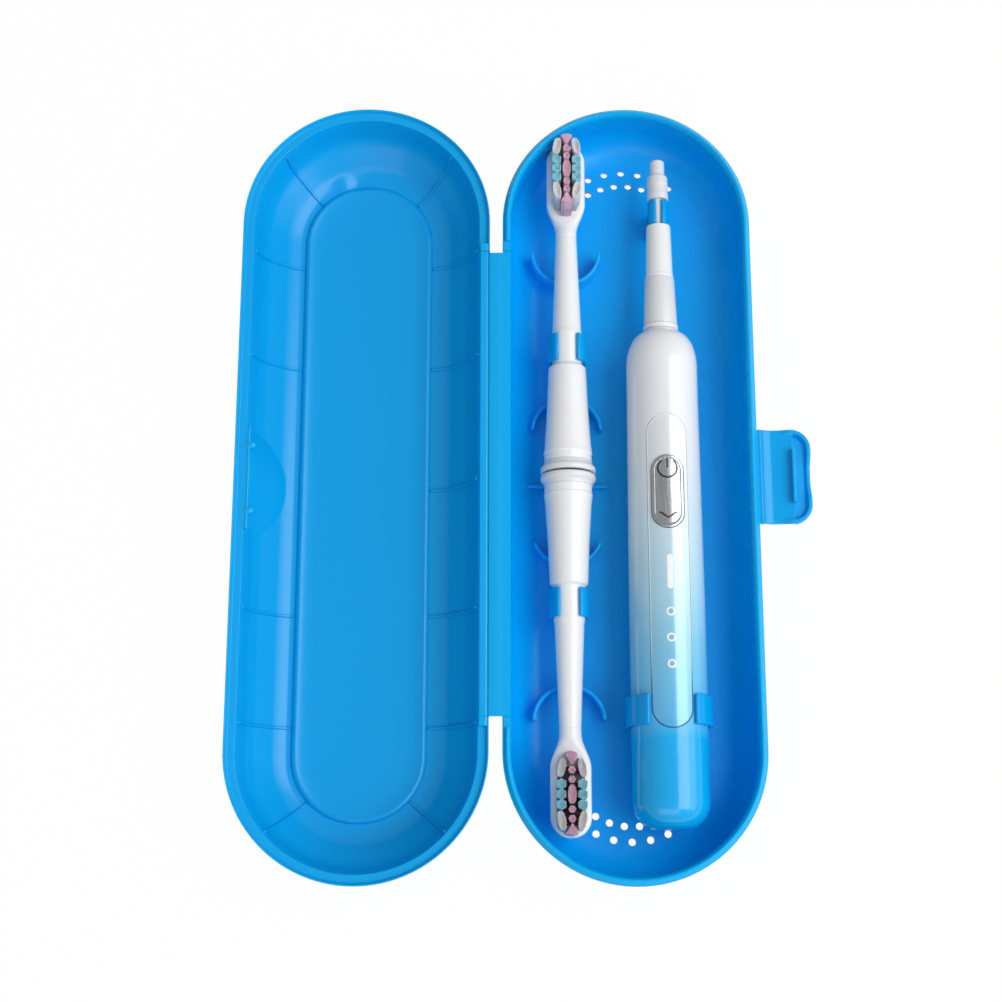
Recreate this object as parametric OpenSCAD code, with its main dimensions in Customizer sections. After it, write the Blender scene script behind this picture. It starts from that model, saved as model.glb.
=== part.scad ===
// Travel case for an electric toothbrush, lying open and flat, with the brush handle and two spare heads in it.
// Frame: origin at the middle of the tray's flat underside, +Z up, +Y along the case, +X towards the latch.

/* [Case] */
// Room left outside the contents at each end, to the outer edge of the rim
end_room = 10.4; // [9:0.2:20]
// Width of each half over its rim
case_w = 70; // [66:0.5:90]
// Height of each half from its flat underside to the rim
shell_h = 18.2; // [17:0.1:24]
// Thickness of walls and floor
wall_t = 1.4; // [1:0.1:2]
// Width of the rim seen from above
rim_w = 2.3; // [2.2:0.1:3.5]
// Height of the rim's outer band
rim_h = 1.6; // [1.2:0.1:2.5]
// Inside radius between floor and wall
blend_r = 8.7; // [5:0.1:9]
// Gap left between the two rims when the case is shut
shut_gap = 0.2; // [0.1:0.05:0.4]
// Height of the tray's sealing lip above its rim
lip_h = 1.2; // [0.6:0.1:1.6]
// Thickness of the sealing lip
lip_t = 0.8; // [0.5:0.1:1]
// Clearance round the sealing lip in the lid's rebate
lip_gap = 0.15; // [0.1:0.05:0.3]

/* [Hinge strap] */
// Length of the strap and of the lowered rim beside it
strap_len = 131.2; // [90:0.2:140]
// Width of the gap between the two halves
strap_gap = 3.6; // [3:0.1:5]
// Thickness of the strap's round edges
strap_t = 0.9; // [0.7:0.1:1.2]
// Thickness of the strap between them
strap_web = 0.7; // [0.4:0.1:0.8]
// Clearance between the strap and each half
strap_fit = 0.1; // [0.05:0.05:0.2]
// Distance past the strap at which lip and rebate start
lip_start = 3.2; // [1:0.1:6]

/* [Latch] */
// Width of the latch along the case
latch_w = 26.6; // [20:0.2:34]
// Thickness of the latch plate
latch_t = 0.9; // [0.7:0.1:1.1]
// Thickness of the bead along the latch's root
latch_bead = 1.1; // [1:0.1:1.4]
// Distance from the latch's pivot to its hook
hook_at = 8.3; // [7:0.1:9]
// Width of the hook along the case
hook_w = 15; // [8:0.2:18]
// Thickness of the hook
hook_t = 0.9; // [0.6:0.1:1.2]
// Length of the pull tab past the hook
tab_len = 4.6; // [3:0.1:6]
// Radius of the tab's corners
tab_corner = 4.6; // [2:0.1:6]
// Depth of the latch recess in the lid's wall
recess_d = 1.1; // [0.8:0.1:1.4]
// Clearance round the shut latch
latch_fit = 0.2; // [0.15:0.05:0.4]
// Radius of the finger scoop under the latch
scoop_r = 36.5; // [28:0.5:50]
// Angle at which the finger scoop leans from upright
scoop_lean = 28.7; // [26:0.1:32]

/* [Lid inside] */
// Half width of the raised panel on the lid's floor
panel_half_w = 18.1; // [12:0.1:20]
// Height of the raised panel
panel_rise = 0.5; // [0.3:0.1:1]
// Width of the thin ribs on the lid's wall
rib_w = 0.6; // [0.4:0.1:1.2]
// Height of the thin ribs
rib_rise = 0.45; // [0.3:0.05:0.8]
// Distance of the outer pair of ribs from the middle
rib_far = 67; // [50:1:74]
// Distance of the inner pair of ribs from the middle
rib_near = 36; // [20:1:45]
// Angle of the corner ribs above the case's short axis
rib_angle = 41.5; // [20:0.5:70]

/* [Air holes] */
// Diameter of an air hole
vent_d = 2; // [1:0.1:2.6]
// Angle between neighbouring air holes
vent_step = 12.6; // [9:0.2:16]
// Radius of the outer row about the round end's centre
vent_row_out = 22.8; // [21:0.1:23]
// Radius of the inner row
vent_row_in = 18.7; // [15:0.1:20]
// Air holes in an outer row
vent_count = 7; // [3:1:9]

/* [Brush handle] */
// Distance of the handle's axis from the tray's middle
handle_x = 9.6; // [8:0.1:12]
// Height of the handle's axis below the rim
handle_drop = 4.8; // [3:0.1:6]
// How far the handle's middle lies from the tray's middle, towards its spigot
handle_shift = 0.2; // [-1:0.1:2]
// Radius of the handle's body
body_r = 10.3; // [10.2:0.05:10.6]
// Loss of radius from the body's middle to its shoulder
body_taper = 0.4; // [0.2:0.05:0.5]
// Radius of the rounding at the handle's lower end
end_round = 7; // [6.2:0.1:7.5]
// Thickness of the housing's wall
house_t = 1.3; // [1.1:0.05:1.4]
// Height above the handle's end up to which the body keeps its full radius
taper_from = 60; // [40:1:80]
// Length of the shoulder
shoulder_len = 19.5; // [18.5:0.1:21]
// Radius of the neck at the shoulder
neck_r = 4.75; // [4.6:0.05:5.2]
// Length of the neck up to its step
neck_len = 16.5; // [14:0.1:18]
// Length of the nose sleeve past the step
nose_len = 16.2; // [13:0.1:17]
// Radius of the nose sleeve at its mouth
nose_r = 3.4; // [3.3:0.05:3.8]
// Radius of the drive shaft where the clip holds it
shaft_r = 1.8; // [1.7:0.05:1.9]
// Radius of the shaft's collar
collar_r = 3; // [2.6:0.05:3.4]
// Length of the bare shaft between nose sleeve and collar
bare_len = 8; // [7:0.1:10]
// Length of the shaft's collar
collar_len = 7.5; // [6:0.1:9]
// Radius of the spigot that takes a brush head
spigot_r = 2.1; // [2:0.05:2.4]
// Length of the spigot
spigot_len = 4.7; // [4:0.1:6]
// Running clearance round the shaft
shaft_fit = 0.08; // [0.04:0.01:0.1]

/* [Controls] */
// Half width of the control panel
inlay_half_w = 5.4; // [5.2:0.1:6]
// Length of the control panel
inlay_len = 85.8; // [82:0.2:90]
// Height above the handle's end at which the control panel starts
inlay_at = 25.6; // [22:0.2:28]
// Width of the power button
button_w = 8.7; // [7:0.1:9]
// Length of the power button
button_len = 20.3; // [16:0.1:22]
// Height of the button's middle above the handle's end
button_at = 89.4; // [88:0.2:90]
// How far the button stands above the housing
button_rise = 0.55; // [0.3:0.05:0.8]
// Travel of the button
button_travel = 0.4; // [0.2:0.05:0.45]
// Clearance round the button
button_fit = 0.15; // [0.1:0.05:0.25]
// Width of the light bar
bar_w = 1.6; // [1.2:0.1:2.4]
// Length of the light bar
bar_len = 9.5; // [6:0.1:12]
// Height of the light bar's middle above the handle's end
bar_at = 67.3; // [66:0.2:70]
// Radius of a mode light
mode_r = 1.05; // [0.8:0.05:1.3]
// Height of the first mode light above the handle's end
mode_at = 42.5; // [40:0.5:44]
// Distance between mode lights
mode_step = 7; // [5:0.1:7.5]
// Number of mode lights
mode_count = 3; // [2:1:3]

/* [Inside the handle] */
// Thickness of the charging coil
coil_t = 2.8; // [2:0.1:4]
// Radius of the battery
battery_r = 7; // [6.5:0.05:7.1]
// Length of the battery
battery_len = 47.7; // [44:0.1:52]
// Length of the space between battery and motor
board_room = 39.6; // [37:0.1:44]
// Radius of the motor
motor_r = 7; // [6:0.1:7.1]
// Length of the motor
motor_len = 20; // [18:0.1:24]
// Width of the circuit board
board_w = 7; // [5:0.1:7.2]
// Thickness of the circuit board
board_t = 0.8; // [0.6:0.1:1]
// Length of the circuit board
board_len = 60; // [50:0.5:60]

/* [Brush heads] */
// Distance of the heads' axis from the tray's middle, on the hinge side
head_x = 16.8; // [15:0.1:17]
// Height of the heads' axis below the rim
head_drop = 7; // [6:0.1:7.5]
// Length of one head
head_len = 99; // [92:0.2:102]
// Place along the case where the two heads meet
heads_meet_y = 2.1; // [1:0.1:3]
// Gap between the two heads
heads_gap = 0.6; // [0.4:0.1:1.2]
// Radius of the ring at the head's open end
ring_r = 7.8; // [7.7:0.05:8]
// Length of the ring
ring_len = 3.2; // [2:0.1:4]
// Length of the tapered body up to the clip groove
taper_len = 31.5; // [30:0.1:33]
// Radius of the body just before the clip groove
taper_r = 5.3; // [5:0.05:5.6]
// Radius of the neck inside the clip
grip_r = 4.3; // [4:0.05:4.6]
// Length of the neck's straight stretch for the clip
grip_len = 9.2; // [8.6:0.1:10]
// Radius of the neck below the plate
thin_r = 3; // [2.8:0.05:3.4]
// Half width of the bristle plate
plate_half_w = 5.5; // [5:0.05:6]
// Thickness of the bristle plate
plate_t = 4.2; // [3.6:0.1:5]
// Height of the plate's upper face above the axis
plate_top = 1.6; // [1.2:0.1:2]
// Length of the plate's broad part
plate_len = 20; // [18:0.1:22]
// Radius of the socket that takes the spigot
socket_r = 3.1; // [2.9:0.05:3.3]
// Depth of the socket
socket_len = 12; // [9:0.1:14]

/* [Bristles] */
// Length of the bristles above their pad
bristle_len = 8.2; // [7:0.1:11]
// Radius of one three-sided bristle
bristle_r = 0.24; // [0.18:0.01:0.26]
// Distance between neighbouring bristles
bristle_step = 0.6; // [0.56:0.01:0.7]
// Radius of a round tuft at the side of the pad
tuft_r = 0.95; // [0.8:0.05:1.1]
// Distance between neighbouring round tufts
tuft_step = 2.3; // [2.1:0.05:2.6]
// Distance of the side tufts from the pad's middle line
tuft_side = 2.7; // [2.5:0.05:2.9]
// Thickness of the pad that holds the bristles
pad_t = 1; // [0.8:0.1:1.4]
// Half width of the pad
pad_half_w = 4.5; // [4.3:0.05:4.8]
// Length of the pad
pad_len = 19.6; // [19:0.1:21]

/* [Clips] */
// Wall of the clips that hold the heads and the shaft
clip_t = 1.1; // [0.8:0.05:1.4]
// Wall of the clip that holds the handle
big_clip_t = 1.2; // [0.9:0.05:1.3]
// Clearance between a clip and what it holds
clip_fit = 0.15; // [0.1:0.05:0.25]
// Length of each clip along the case
clip_len = 8; // [6:0.1:8.4]
// Opening between the fingers of a head clip
head_mouth = 5.2; // [3:0.1:6]
// Opening between the fingers of the shaft clip
shaft_mouth = 1; // [0.8:0.1:2]
// Opening between the fingers of the handle clip
handle_mouth = 12; // [8:0.2:16]
// Height of the handle clip's middle above the handle's end
handle_clip_at = 30.8; // [28:0.1:34]
// Width of the foot under the handle clip
handle_stem = 14; // [8:0.5:18]
// Width of the post under the shaft clip
shaft_stem = 4.4; // [3:0.1:5.5]
// Width of the post under a head clip
head_stem = 5; // [3:0.1:8]

/* [Saddles] */
// Thickness of the saddle walls
saddle_t = 1.1; // [0.8:0.1:1.6]
// Gap between a saddle and the head above it
saddle_gap = 0.25; // [0.2:0.05:0.4]
// Radius of the curved saddles
saddle_r = 10.2; // [8:0.1:11]
// Distance from a head clip to the saddle on the ring's side
saddle_near = 11.7; // [10:0.1:14]
// Distance from a head clip to the saddle on the bristles' side
saddle_far = 21.3; // [18:0.1:26]
// How far a saddle's arms reach back from its bulge
saddle_reach = 9.8; // [7:0.1:10]
// How far the arms of the short saddle reach back
saddle_short = 6.6; // [5:0.1:9]
// Half length of the straight saddle under the two rings
bar_half = 11.4; // [8:0.1:12]

/* [Hidden] */
$fn = 72;

skin = 0.05;
over = 1;
rim_r = case_w / 2;
inner_r = rim_r - rim_w;
wall_r = inner_r + wall_t;
foot_r = inner_r - blend_r;

pivot_inset = strap_t / 2 + strap_fit;
pivot_span = strap_gap - 2 * pivot_inset;
pivot_z = shell_h - (pivot_span - shut_gap) / 2;
strap_top = pivot_z + strap_t / 2;
tray_pivot_x = -rim_r - pivot_inset;
lid_x = -case_w - strap_gap;

latch_pivot_x = rim_r + latch_fit + latch_bead / 2;
latch_pivot_z = shell_h - rim_h / 2;
recess_face = wall_r - recess_d;
recess_half = latch_w / 2 + 0.7;
hook_tip = latch_pivot_x - recess_face - latch_fit;
catch_h = 1.1;
catch_low = 2 * pivot_z + pivot_span - latch_pivot_z - hook_at + latch_fit;
catch_half = hook_w / 2 + 1.8;

bowl_foot = max(foot_r - 2, panel_half_w + 0.8);
bowl_knee = [inner_r - 2.8, wall_t + 8];
bowl_slope = (inner_r - bowl_knee[0]) / (shell_h + over - bowl_knee[1]);
bowl_out = wall_t * (sqrt(2) - 1);

lip_in = rim_r - lip_t - 0.9;
lip_out = rim_r - 0.9;
rebate_h = lip_h - shut_gap + 2 * lip_gap;
rib_top = shell_h - rebate_h - 1.2;

cavity_at = 6.2;
cap_boss_at = 3;
wall_step = 0.3;
bulkhead_t = 1.5;
battery_at = cavity_at + coil_t + wall_step;
mid_wall_at = battery_at + battery_len + wall_step;
rear_wall_at = mid_wall_at + board_room;
motor_at = rear_wall_at + 2;
front_plate_at = motor_at + motor_len + 2 * skin;
shoulder_at = front_plate_at - 1;
neck_at = shoulder_at + shoulder_len;
nose_at = neck_at + neck_len;
mouth_at = nose_at + nose_len;
collar_at = mouth_at + bare_len;
spigot_at = collar_at + collar_len;
handle_len = spigot_at + spigot_len;
case_len = max(2 * head_len + heads_gap, handle_len) + 2 * end_room;
end_at = case_len / 2 - rim_r;

handle_z = shell_h - handle_drop;
handle_y = handle_shift - handle_len / 2;
cap_r = body_r - 3.35;
house_r = body_r - house_t;
inlay_bed = body_r - 0.95;
inlay_rise = 0.12;
board_z = battery_r;
battery_drop = 0.2;
trough_in = battery_r + 0.3;
trough_out = trough_in + 0.7;
bulkhead_r = house_r - 0.5;
motor_nose_r = 3;
front_plate_r = house_r - body_taper - 0.2;

head_z = shell_h - head_drop;
clip_mid = heads_gap / 2 + taper_len + grip_len / 2;

// Points on an arc
function arc(x, y, r, from, to, n = 10) =
    [for (i = [0:n]) [x + r * cos(from + (to - from) * i / n), y + r * sin(from + (to - from) * i / n)]];

// Half section of a whole shell, from the middle out to the rim
function shell_section() = concat(
    [[0, 0]],
    arc(foot_r, blend_r + wall_t, blend_r + wall_t, -90, 0),
    [[wall_r, shell_h - rim_h], [rim_r, shell_h - rim_h], [rim_r, shell_h], [0, shell_h]]
);

// Half section of the space inside a shell, smaller at the sides by gap
function hollow_section(gap = 0) = concat(
    [[0, wall_t]],
    arc(foot_r - gap, blend_r + wall_t, blend_r, -90, 0),
    [[inner_r - gap, shell_h + over], [0, shell_h + over]]
);

// Corner b between a and c, eased by a curve that leaves both lines at the distance size from it
function eased(a, b, c, size, n = 6) = let (
    p = b + (a - b) / norm(a - b) * size,
    q = b + (c - b) / norm(c - b) * size
) [for (i = [0:n]) let (t = i / n) (1 - t) * (1 - t) * p + 2 * t * (1 - t) * b + t * t * q];

// The lid's inside from the panel up to a height: flat floor, slope, steep wall; moved by shift
function bowl_line(shift, high) = let (
    a = [panel_half_w, wall_t + shift[1]],
    b = [bowl_foot, wall_t] + shift,
    c = bowl_knee + shift,
    d = [c[0] + (high - c[1]) * bowl_slope, high]
) concat([a], eased(a, b, c, min(3, 0.9 * (b[0] - a[0]))), eased(b, c, d, 2.5), [d]);

// Half section of the space inside the lid
function bowl_section() = concat([[0, wall_t]], bowl_line([0, 0], shell_h + over), [[0, shell_h + over]]);

// Half section of the whole lid: flat foot, slope along the inside one, upright wall, rim band
function lid_section() = let (
    a = [0, 0],
    b = [bowl_foot + bowl_out, 0],
    run = wall_r - b[0],
    c = [wall_r, run * (bowl_knee[1] - wall_t) / (bowl_knee[0] - bowl_foot)],
    d = [wall_r, shell_h - rim_h]
) concat([a], eased(a, b, c, 3), eased(b, c, d, 2), [d, [rim_r, d[1]], [rim_r, shell_h], [0, shell_h]]);

// Section of one thin rib, half sunk into the wall it stands on
function rib_section() = let (
    sunk = bowl_line([0.4, -0.5], rib_top),
    crest = bowl_line([-0.7 * rib_rise, rib_rise], rib_top)
) concat(sunk, [for (i = [len(crest) - 1:-1:0]) crest[i]]);

// A half section swept round the long outline of the case
module sweep_case(section) {
    last = len(section) - 1;
    both = concat(section, [for (i = [last:-1:0]) if (section[i][0] > 0) [-section[i][0], section[i][1]]]);
    rotate([90, 0, 0]) linear_extrude(2 * end_at, center = true) polygon(both);
    for (turn = [0, 180])
        rotate([0, 0, turn]) translate([0, end_at, 0]) rotate_extrude(angle = 180) polygon(section);
}

// A flat ring or plate with the outline of the case
module case_ring(r_out, r_in, low, high) {
    difference() {
        sweep_case([[0, low], [r_out, low], [r_out, high], [0, high]]);
        sweep_case([[0, low - over], [r_in, low - over], [r_in, high + over], [0, high + over]]);
    }
}

module block(from, to) {
    translate(from) cube(to - from);
}

// The stretch of rim beside the strap
module strap_zone(half_len, low) {
    block([-rim_r - over, -half_len, low], [-inner_r + over, half_len, shell_h + 3]);
}

module shell_half(whole, hollow) {
    difference() {
        sweep_case(whole);
        sweep_case(hollow);
        strap_zone(strap_len / 2 + 0.4, strap_top);
    }
}

module vent_rows() {
    for (turn = [0, 180])
        rotate([0, 0, turn]) translate([0, end_at, -over]) {
            for (i = [0:vent_count - 1])
                rotate([0, 0, (i - (vent_count - 1) / 2) * vent_step])
                    translate([0, vent_row_out, 0]) cylinder(d = vent_d, h = wall_t + 2 * over, $fn = 24);
            for (i = [0:vent_count - 2])
                rotate([0, 0, (i - (vent_count - 2) / 2) * vent_step])
                    translate([0, vent_row_in, 0]) cylinder(d = vent_d, h = wall_t + 2 * over, $fn = 24);
        }
}

module base_tray() {
    color("dodgerblue") {
        difference() {
            union() {
                shell_half(shell_section(), hollow_section());
                difference() {
                    case_ring(lip_out, lip_in, shell_h - 0.5, shell_h + lip_h);
                    strap_zone(strap_len / 2 + lip_start, shell_h - over);
                }
            }
            vent_rows();
        }
    }
}

// A cylinder that leans outwards and whose inner line meets the recess below the rim's band
module scoop(r) {
    translate([recess_face + scoop_r * cos(scoop_lean), 0, shell_h - rim_h - scoop_r * sin(scoop_lean)])
        rotate([0, scoop_lean, 0])
            cylinder(r = r, h = 4 * shell_h, center = true, $fn = 180);
}

module lid_shell() {
    far_x = rim_r + over;
    color("deepskyblue")
        translate([lid_x, 0, 0])
            mirror([1, 0, 0])
                difference() {
                    union() {
                        shell_half(lid_section(), bowl_section());
                        intersection() {
                            scoop(scoop_r + wall_t / 2);
                            block([0, -catch_half, catch_low], [wall_r, catch_half, catch_low + catch_h]);
                        }
                        intersection() {
                            sweep_case(lid_section());
                            union() {
                                block(
                                    [recess_face - wall_t, -recess_half - wall_t, wall_t],
                                    [far_x, recess_half + wall_t, shell_h]
                                );
                                scoop(scoop_r + wall_t);
                            }
                        }
                        sweep_case([
                            [0, wall_t - 0.5], [panel_half_w, wall_t - 0.5],
                            [panel_half_w, wall_t + panel_rise], [0, wall_t + panel_rise]
                        ]);
                        lid_ribs();
                    }
                    difference() {
                        block([recess_face, -recess_half, -over], [far_x, recess_half, shell_h - rim_h]);
                        block([0, -catch_half, catch_low], [far_x, catch_half, catch_low + catch_h]);
                    }
                    intersection() {
                        scoop(scoop_r);
                        difference() {
                            block([0, -rim_r, -over], [far_x, rim_r, shell_h - rim_h]);
                            block([0, -catch_half, catch_low], [far_x, catch_half, catch_low + catch_h]);
                        }
                    }
                    difference() {
                        sweep_case([
                            [0, shell_h - rebate_h], [lip_out + lip_gap, shell_h - rebate_h],
                            [lip_out + lip_gap, shell_h + over], [0, shell_h + over]
                        ]);
                        strap_zone(strap_len / 2 + lip_start - 0.6, 0);
                    }
                }
}

// One rib in the plane of the case's short axis, on the side of +X
module one_rib() {
    rotate([90, 0, 0]) linear_extrude(rib_w, center = true) polygon(rib_section());
}

module lid_ribs() {
    for (y = [-rib_far, -rib_near, rib_near, rib_far])
        translate([0, y, 0]) one_rib();
    mirror([1, 0, 0])
        for (y = [-rib_far, -rib_near, 0, rib_near, rib_far])
            translate([0, y, 0]) one_rib();
    for (turn = [0, 180])
        rotate([0, 0, turn])
            for (a = [rib_angle, 180 - rib_angle])
                translate([0, end_at, 0]) rotate([0, 0, a]) one_rib();
}

module hinge_strap() {
    color("deepskyblue")
        translate([tray_pivot_x, 0, pivot_z])
            rotate([90, 0, 0]) {
                for (x = [0, -pivot_span])
                    translate([x, 0, 0]) cylinder(d = strap_t, h = strap_len, center = true, $fn = 24);
                translate([-pivot_span / 2, 0, 0]) cube([pivot_span, strap_web, strap_len], center = true);
            }
}

// Section of the latch plate: flat root, dip for the finger, rise to the hook, pocket and end lip
function latch_section() = let (
    t = latch_t / 2,
    dip = 1.5,
    mid = hook_at / 2 + 0.8,
    end = hook_at + hook_t + tab_len
) [
        [0, t], [0, -t], [2, -t], [mid - 1.4, -t - dip * 0.8], [mid, -t - dip], [mid + 1.6, -t - dip * 0.75],
        [hook_at, -t - 0.2], [end - 1, -t - 0.2], [end, -t + 0.3], [end, t + 0.7],
        [end - 0.4, t + 1], [end - 0.9, t + 1], [end - 1.3, t - 0.1],
        [hook_at, t - 0.1], [mid + 1.5, t - dip * 0.75], [mid, t - dip], [mid - 1.5, t - dip * 0.8], [2.2, t]
];

module latch() {
    end = hook_at + hook_t + tab_len;
    color("dodgerblue")
        translate([latch_pivot_x, 0, latch_pivot_z]) {
            intersection() {
                rotate([90, 0, 0]) linear_extrude(latch_w, center = true) polygon(latch_section());
                translate([0, 0, -5])
                    linear_extrude(10)
                        polygon(concat(
                            [[-2, -latch_w / 2]],
                            arc(end - tab_corner, tab_corner - latch_w / 2, tab_corner, -90, 0, 8),
                            arc(end - tab_corner, latch_w / 2 - tab_corner, tab_corner, 0, 90, 8),
                            [[-2, latch_w / 2]]
                        ));
            }
            block([hook_at, -hook_w / 2, 0], [hook_at + hook_t, hook_w / 2, hook_tip]);
            rotate([90, 0, 0]) cylinder(d = latch_bead, h = latch_w, center = true, $fn = 24);
        }
}

// Stands a turned piece of the handle along +Y, with its upper side up
module along_handle() {
    translate([handle_x, handle_y, handle_z]) rotate([-90, 0, 0]) children();
}

// Stands a turned piece of a head along the case: the upper one towards +Y, the lower one towards -Y
module along_head(upper) {
    translate([-head_x, heads_meet_y, head_z])
        rotate([0, 0, upper ? 0 : 180])
            translate([0, heads_gap / 2, 0])
                rotate([-90, 0, 0])
                    children();
}

module tube(r_out, r_in, from, to) {
    difference() {
        translate([0, 0, from]) cylinder(r = r_out, h = to - from);
        translate([0, 0, from - over]) cylinder(r = r_in, h = to - from + 2 * over);
    }
}

module rod(r, from, to) {
    translate([0, 0, from]) cylinder(r = r, h = to - from);
}

// Half outline of the handle's body, larger all over by grow
function body_outline(grow) = concat(
    [[0, -grow]],
    arc(body_r - end_round, end_round, end_round + grow, -90, 0),
    [[body_r + grow, taper_from], [body_r + grow - body_taper, shoulder_at]],
    [for (i = [0:10]) [
        neck_r + grow + (body_r - body_taper - neck_r) * cos(9 * i),
        shoulder_at + shoulder_len / 2 * (1 + sin(9 * i))
    ]],
    [[0, neck_at]]
);

// Half outline of the space inside the housing
function cavity_outline() = let (top = house_r - body_taper) concat(
    [[0, cavity_at], [house_r - 0.4, cavity_at], [house_r, cavity_at + 1.2], [house_r, taper_from], [top, shoulder_at]],
    [for (i = [1:7]) let (q = i / 8) [
        neck_r - 0.75 + (top - neck_r + 0.75) * pow(1 - q * q, 0.65),
        shoulder_at + (shoulder_len - 4) * q
    ]],
    [[neck_r - 0.75, shoulder_at + shoulder_len - 4], [neck_r - 0.75, neck_at + over], [0, neck_at + over]]
);

// An upright block with round ends that goes down through the handle's upper side
module oval(half_w, from, to, low = 6) {
    rotate([90, 0, 0])
        translate([0, 0, low])
            linear_extrude(10)
                polygon(concat(
                    arc(0, from + half_w, half_w, 180, 360, 16),
                    arc(0, to - half_w, half_w, 0, 180, 16)
                ));
}

module control_openings(gap) {
    half = button_len / 2;
    oval(button_w / 2 + gap, button_at - half - gap, button_at + half + gap);
    oval(bar_w / 2 + skin, bar_at - bar_len / 2 - skin, bar_at + bar_len / 2 + skin);
    for (i = [0:mode_count - 1])
        translate([0, 0, mode_at + i * mode_step])
            rotate([90, 0, 0])
                translate([0, 0, 6])
                    cylinder(r = mode_r + skin, h = 10, $fn = 24);
}

module handle_shell() {
    color("white")
        along_handle()
            difference() {
                rotate_extrude() polygon(body_outline(0));
                rotate_extrude() polygon(cavity_outline());
                rod(cap_r + skin, -over, cavity_at + over);
                difference() {
                    oval(inlay_half_w + skin, inlay_at - skin, inlay_at + inlay_len + skin);
                    rod(inlay_bed, 0, neck_at);
                }
                control_openings(button_fit);
            }
}

module control_panel() {
    color("skyblue")
        along_handle()
            difference() {
                intersection() {
                    rotate_extrude() polygon(body_outline(inlay_rise));
                    oval(inlay_half_w, inlay_at, inlay_at + inlay_len);
                }
                rod(inlay_bed + skin, 0, neck_at);
                control_openings(button_fit);
            }
}

module power_button() {
    half = button_len / 2;
    low = house_r;
    color("silver")
        along_handle() {
            intersection() {
                rotate_extrude() polygon(body_outline(button_rise));
                oval(button_w / 2, button_at - half, button_at + half, low);
            }
            translate([0, 0, button_at])
                rotate([90, 0, 0])
                    translate([0, 0, low - 0.25])
                        cylinder(r = 1.5, h = 0.75, $fn = 32);
        }
}

module button_gasket() {
    half = button_len / 2;
    top = house_r - button_travel - skin;
    color("dimgray")
        along_handle()
            intersection() {
                difference() {
                    oval(button_w / 2, button_at - half, button_at + half, top - 0.4);
                    oval(button_w / 2 - 1.8, button_at - half + 3, button_at + half - 3);
                }
                block([-button_w, -top, 0], [button_w, -top / 2, neck_at]);
            }
}

module light_bar() {
    color("white")
        along_handle()
            intersection() {
                rotate_extrude() polygon(body_outline(inlay_rise + skin));
                oval(bar_w / 2, bar_at - bar_len / 2, bar_at + bar_len / 2, house_r - skin);
            }
}

module mode_lights() {
    color("white")
        along_handle()
            intersection() {
                rotate_extrude() polygon(body_outline(inlay_rise + skin));
                for (i = [0:mode_count - 1])
                    translate([0, 0, mode_at + i * mode_step])
                        rotate([90, 0, 0])
                            translate([0, 0, house_r - skin])
                                cylinder(r = mode_r, h = 5, $fn = 24);
            }
}

// Neck with the bearing for the shaft, plugged into the housing
module handle_neck() {
    plug_r = neck_r - 0.75 - skin;
    top_r = nose_r + 0.75;
    color("whitesmoke")
        along_handle()
            difference() {
                rotate_extrude()
                    polygon([
                        [0, neck_at - 3.6], [plug_r, neck_at - 3.6], [plug_r, neck_at], [neck_r, neck_at],
                        [neck_r, neck_at + 0.9], [neck_r - 0.3, neck_at + 0.9], [neck_r - 0.3, neck_at + 2.5],
                        [neck_r, neck_at + 2.5], [top_r, nose_at], [0, nose_at]
                    ]);
                rod(shaft_r - 0.3 + shaft_fit, neck_at - 5, nose_at + over);
                rod(nose_r - 0.5 + skin, nose_at - 4, nose_at + over);
            }
}

module neck_ring() {
    color("white")
        along_handle()
            tube(neck_r + 0.15, neck_r - 0.3 + skin, neck_at + 0.9 + skin, neck_at + 2.5 - skin);
}

module nose_sleeve() {
    color("white")
        along_handle()
            difference() {
                rotate_extrude()
                    polygon([
                        [0, nose_at - 4 + skin], [nose_r - 0.5, nose_at - 4 + skin], [nose_r - 0.5, nose_at],
                        [nose_r + 0.5, nose_at], [nose_r + 0.05, mouth_at - 0.4], [nose_r - 0.35, mouth_at],
                        [0, mouth_at]
                    ]);
                rod(shaft_r + 0.3, nose_at - 5, mouth_at + over);
                rod(shaft_r + 0.9, mouth_at - 1.8, mouth_at + over);
            }
}

module shaft_seal() {
    color("gray")
        along_handle()
            tube(shaft_r + 0.9 - skin, shaft_r + shaft_fit, mouth_at - 1.8 + skin, mouth_at - 0.4);
}

module drive_shaft() {
    thin = shaft_r - 0.3;
    back = front_plate_at + bulkhead_t + 0.7;
    color("whitesmoke")
        along_handle()
            rotate_extrude()
                polygon(concat(
                    [[0, back], [thin, back], [thin, nose_at + 1], [shaft_r, nose_at + 1], [shaft_r, collar_at]],
                    [[collar_r - 0.2, collar_at], [collar_r, collar_at + 0.2]],
                    [[collar_r - 0.15, spigot_at - 0.4], [collar_r - 0.55, spigot_at], [spigot_r, spigot_at]],
                    arc(spigot_r - 0.6, handle_len - 0.6, 0.6, 0, 90, 5),
                    [[0, handle_len]]
                ));
}

module battery() {
    color("slategray")
        along_handle()
            translate([0, battery_drop, 0]) {
                rod(battery_r, battery_at, battery_at + battery_len - 1);
                rod(2.5, battery_at + battery_len - 1 - skin, battery_at + battery_len);
            }
}

module motor() {
    color("silver")
        along_handle() {
            rod(motor_r, motor_at, motor_at + motor_len);
            rod(motor_nose_r, motor_at + motor_len - skin, front_plate_at + bulkhead_t + 0.5);
        }
}

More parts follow.
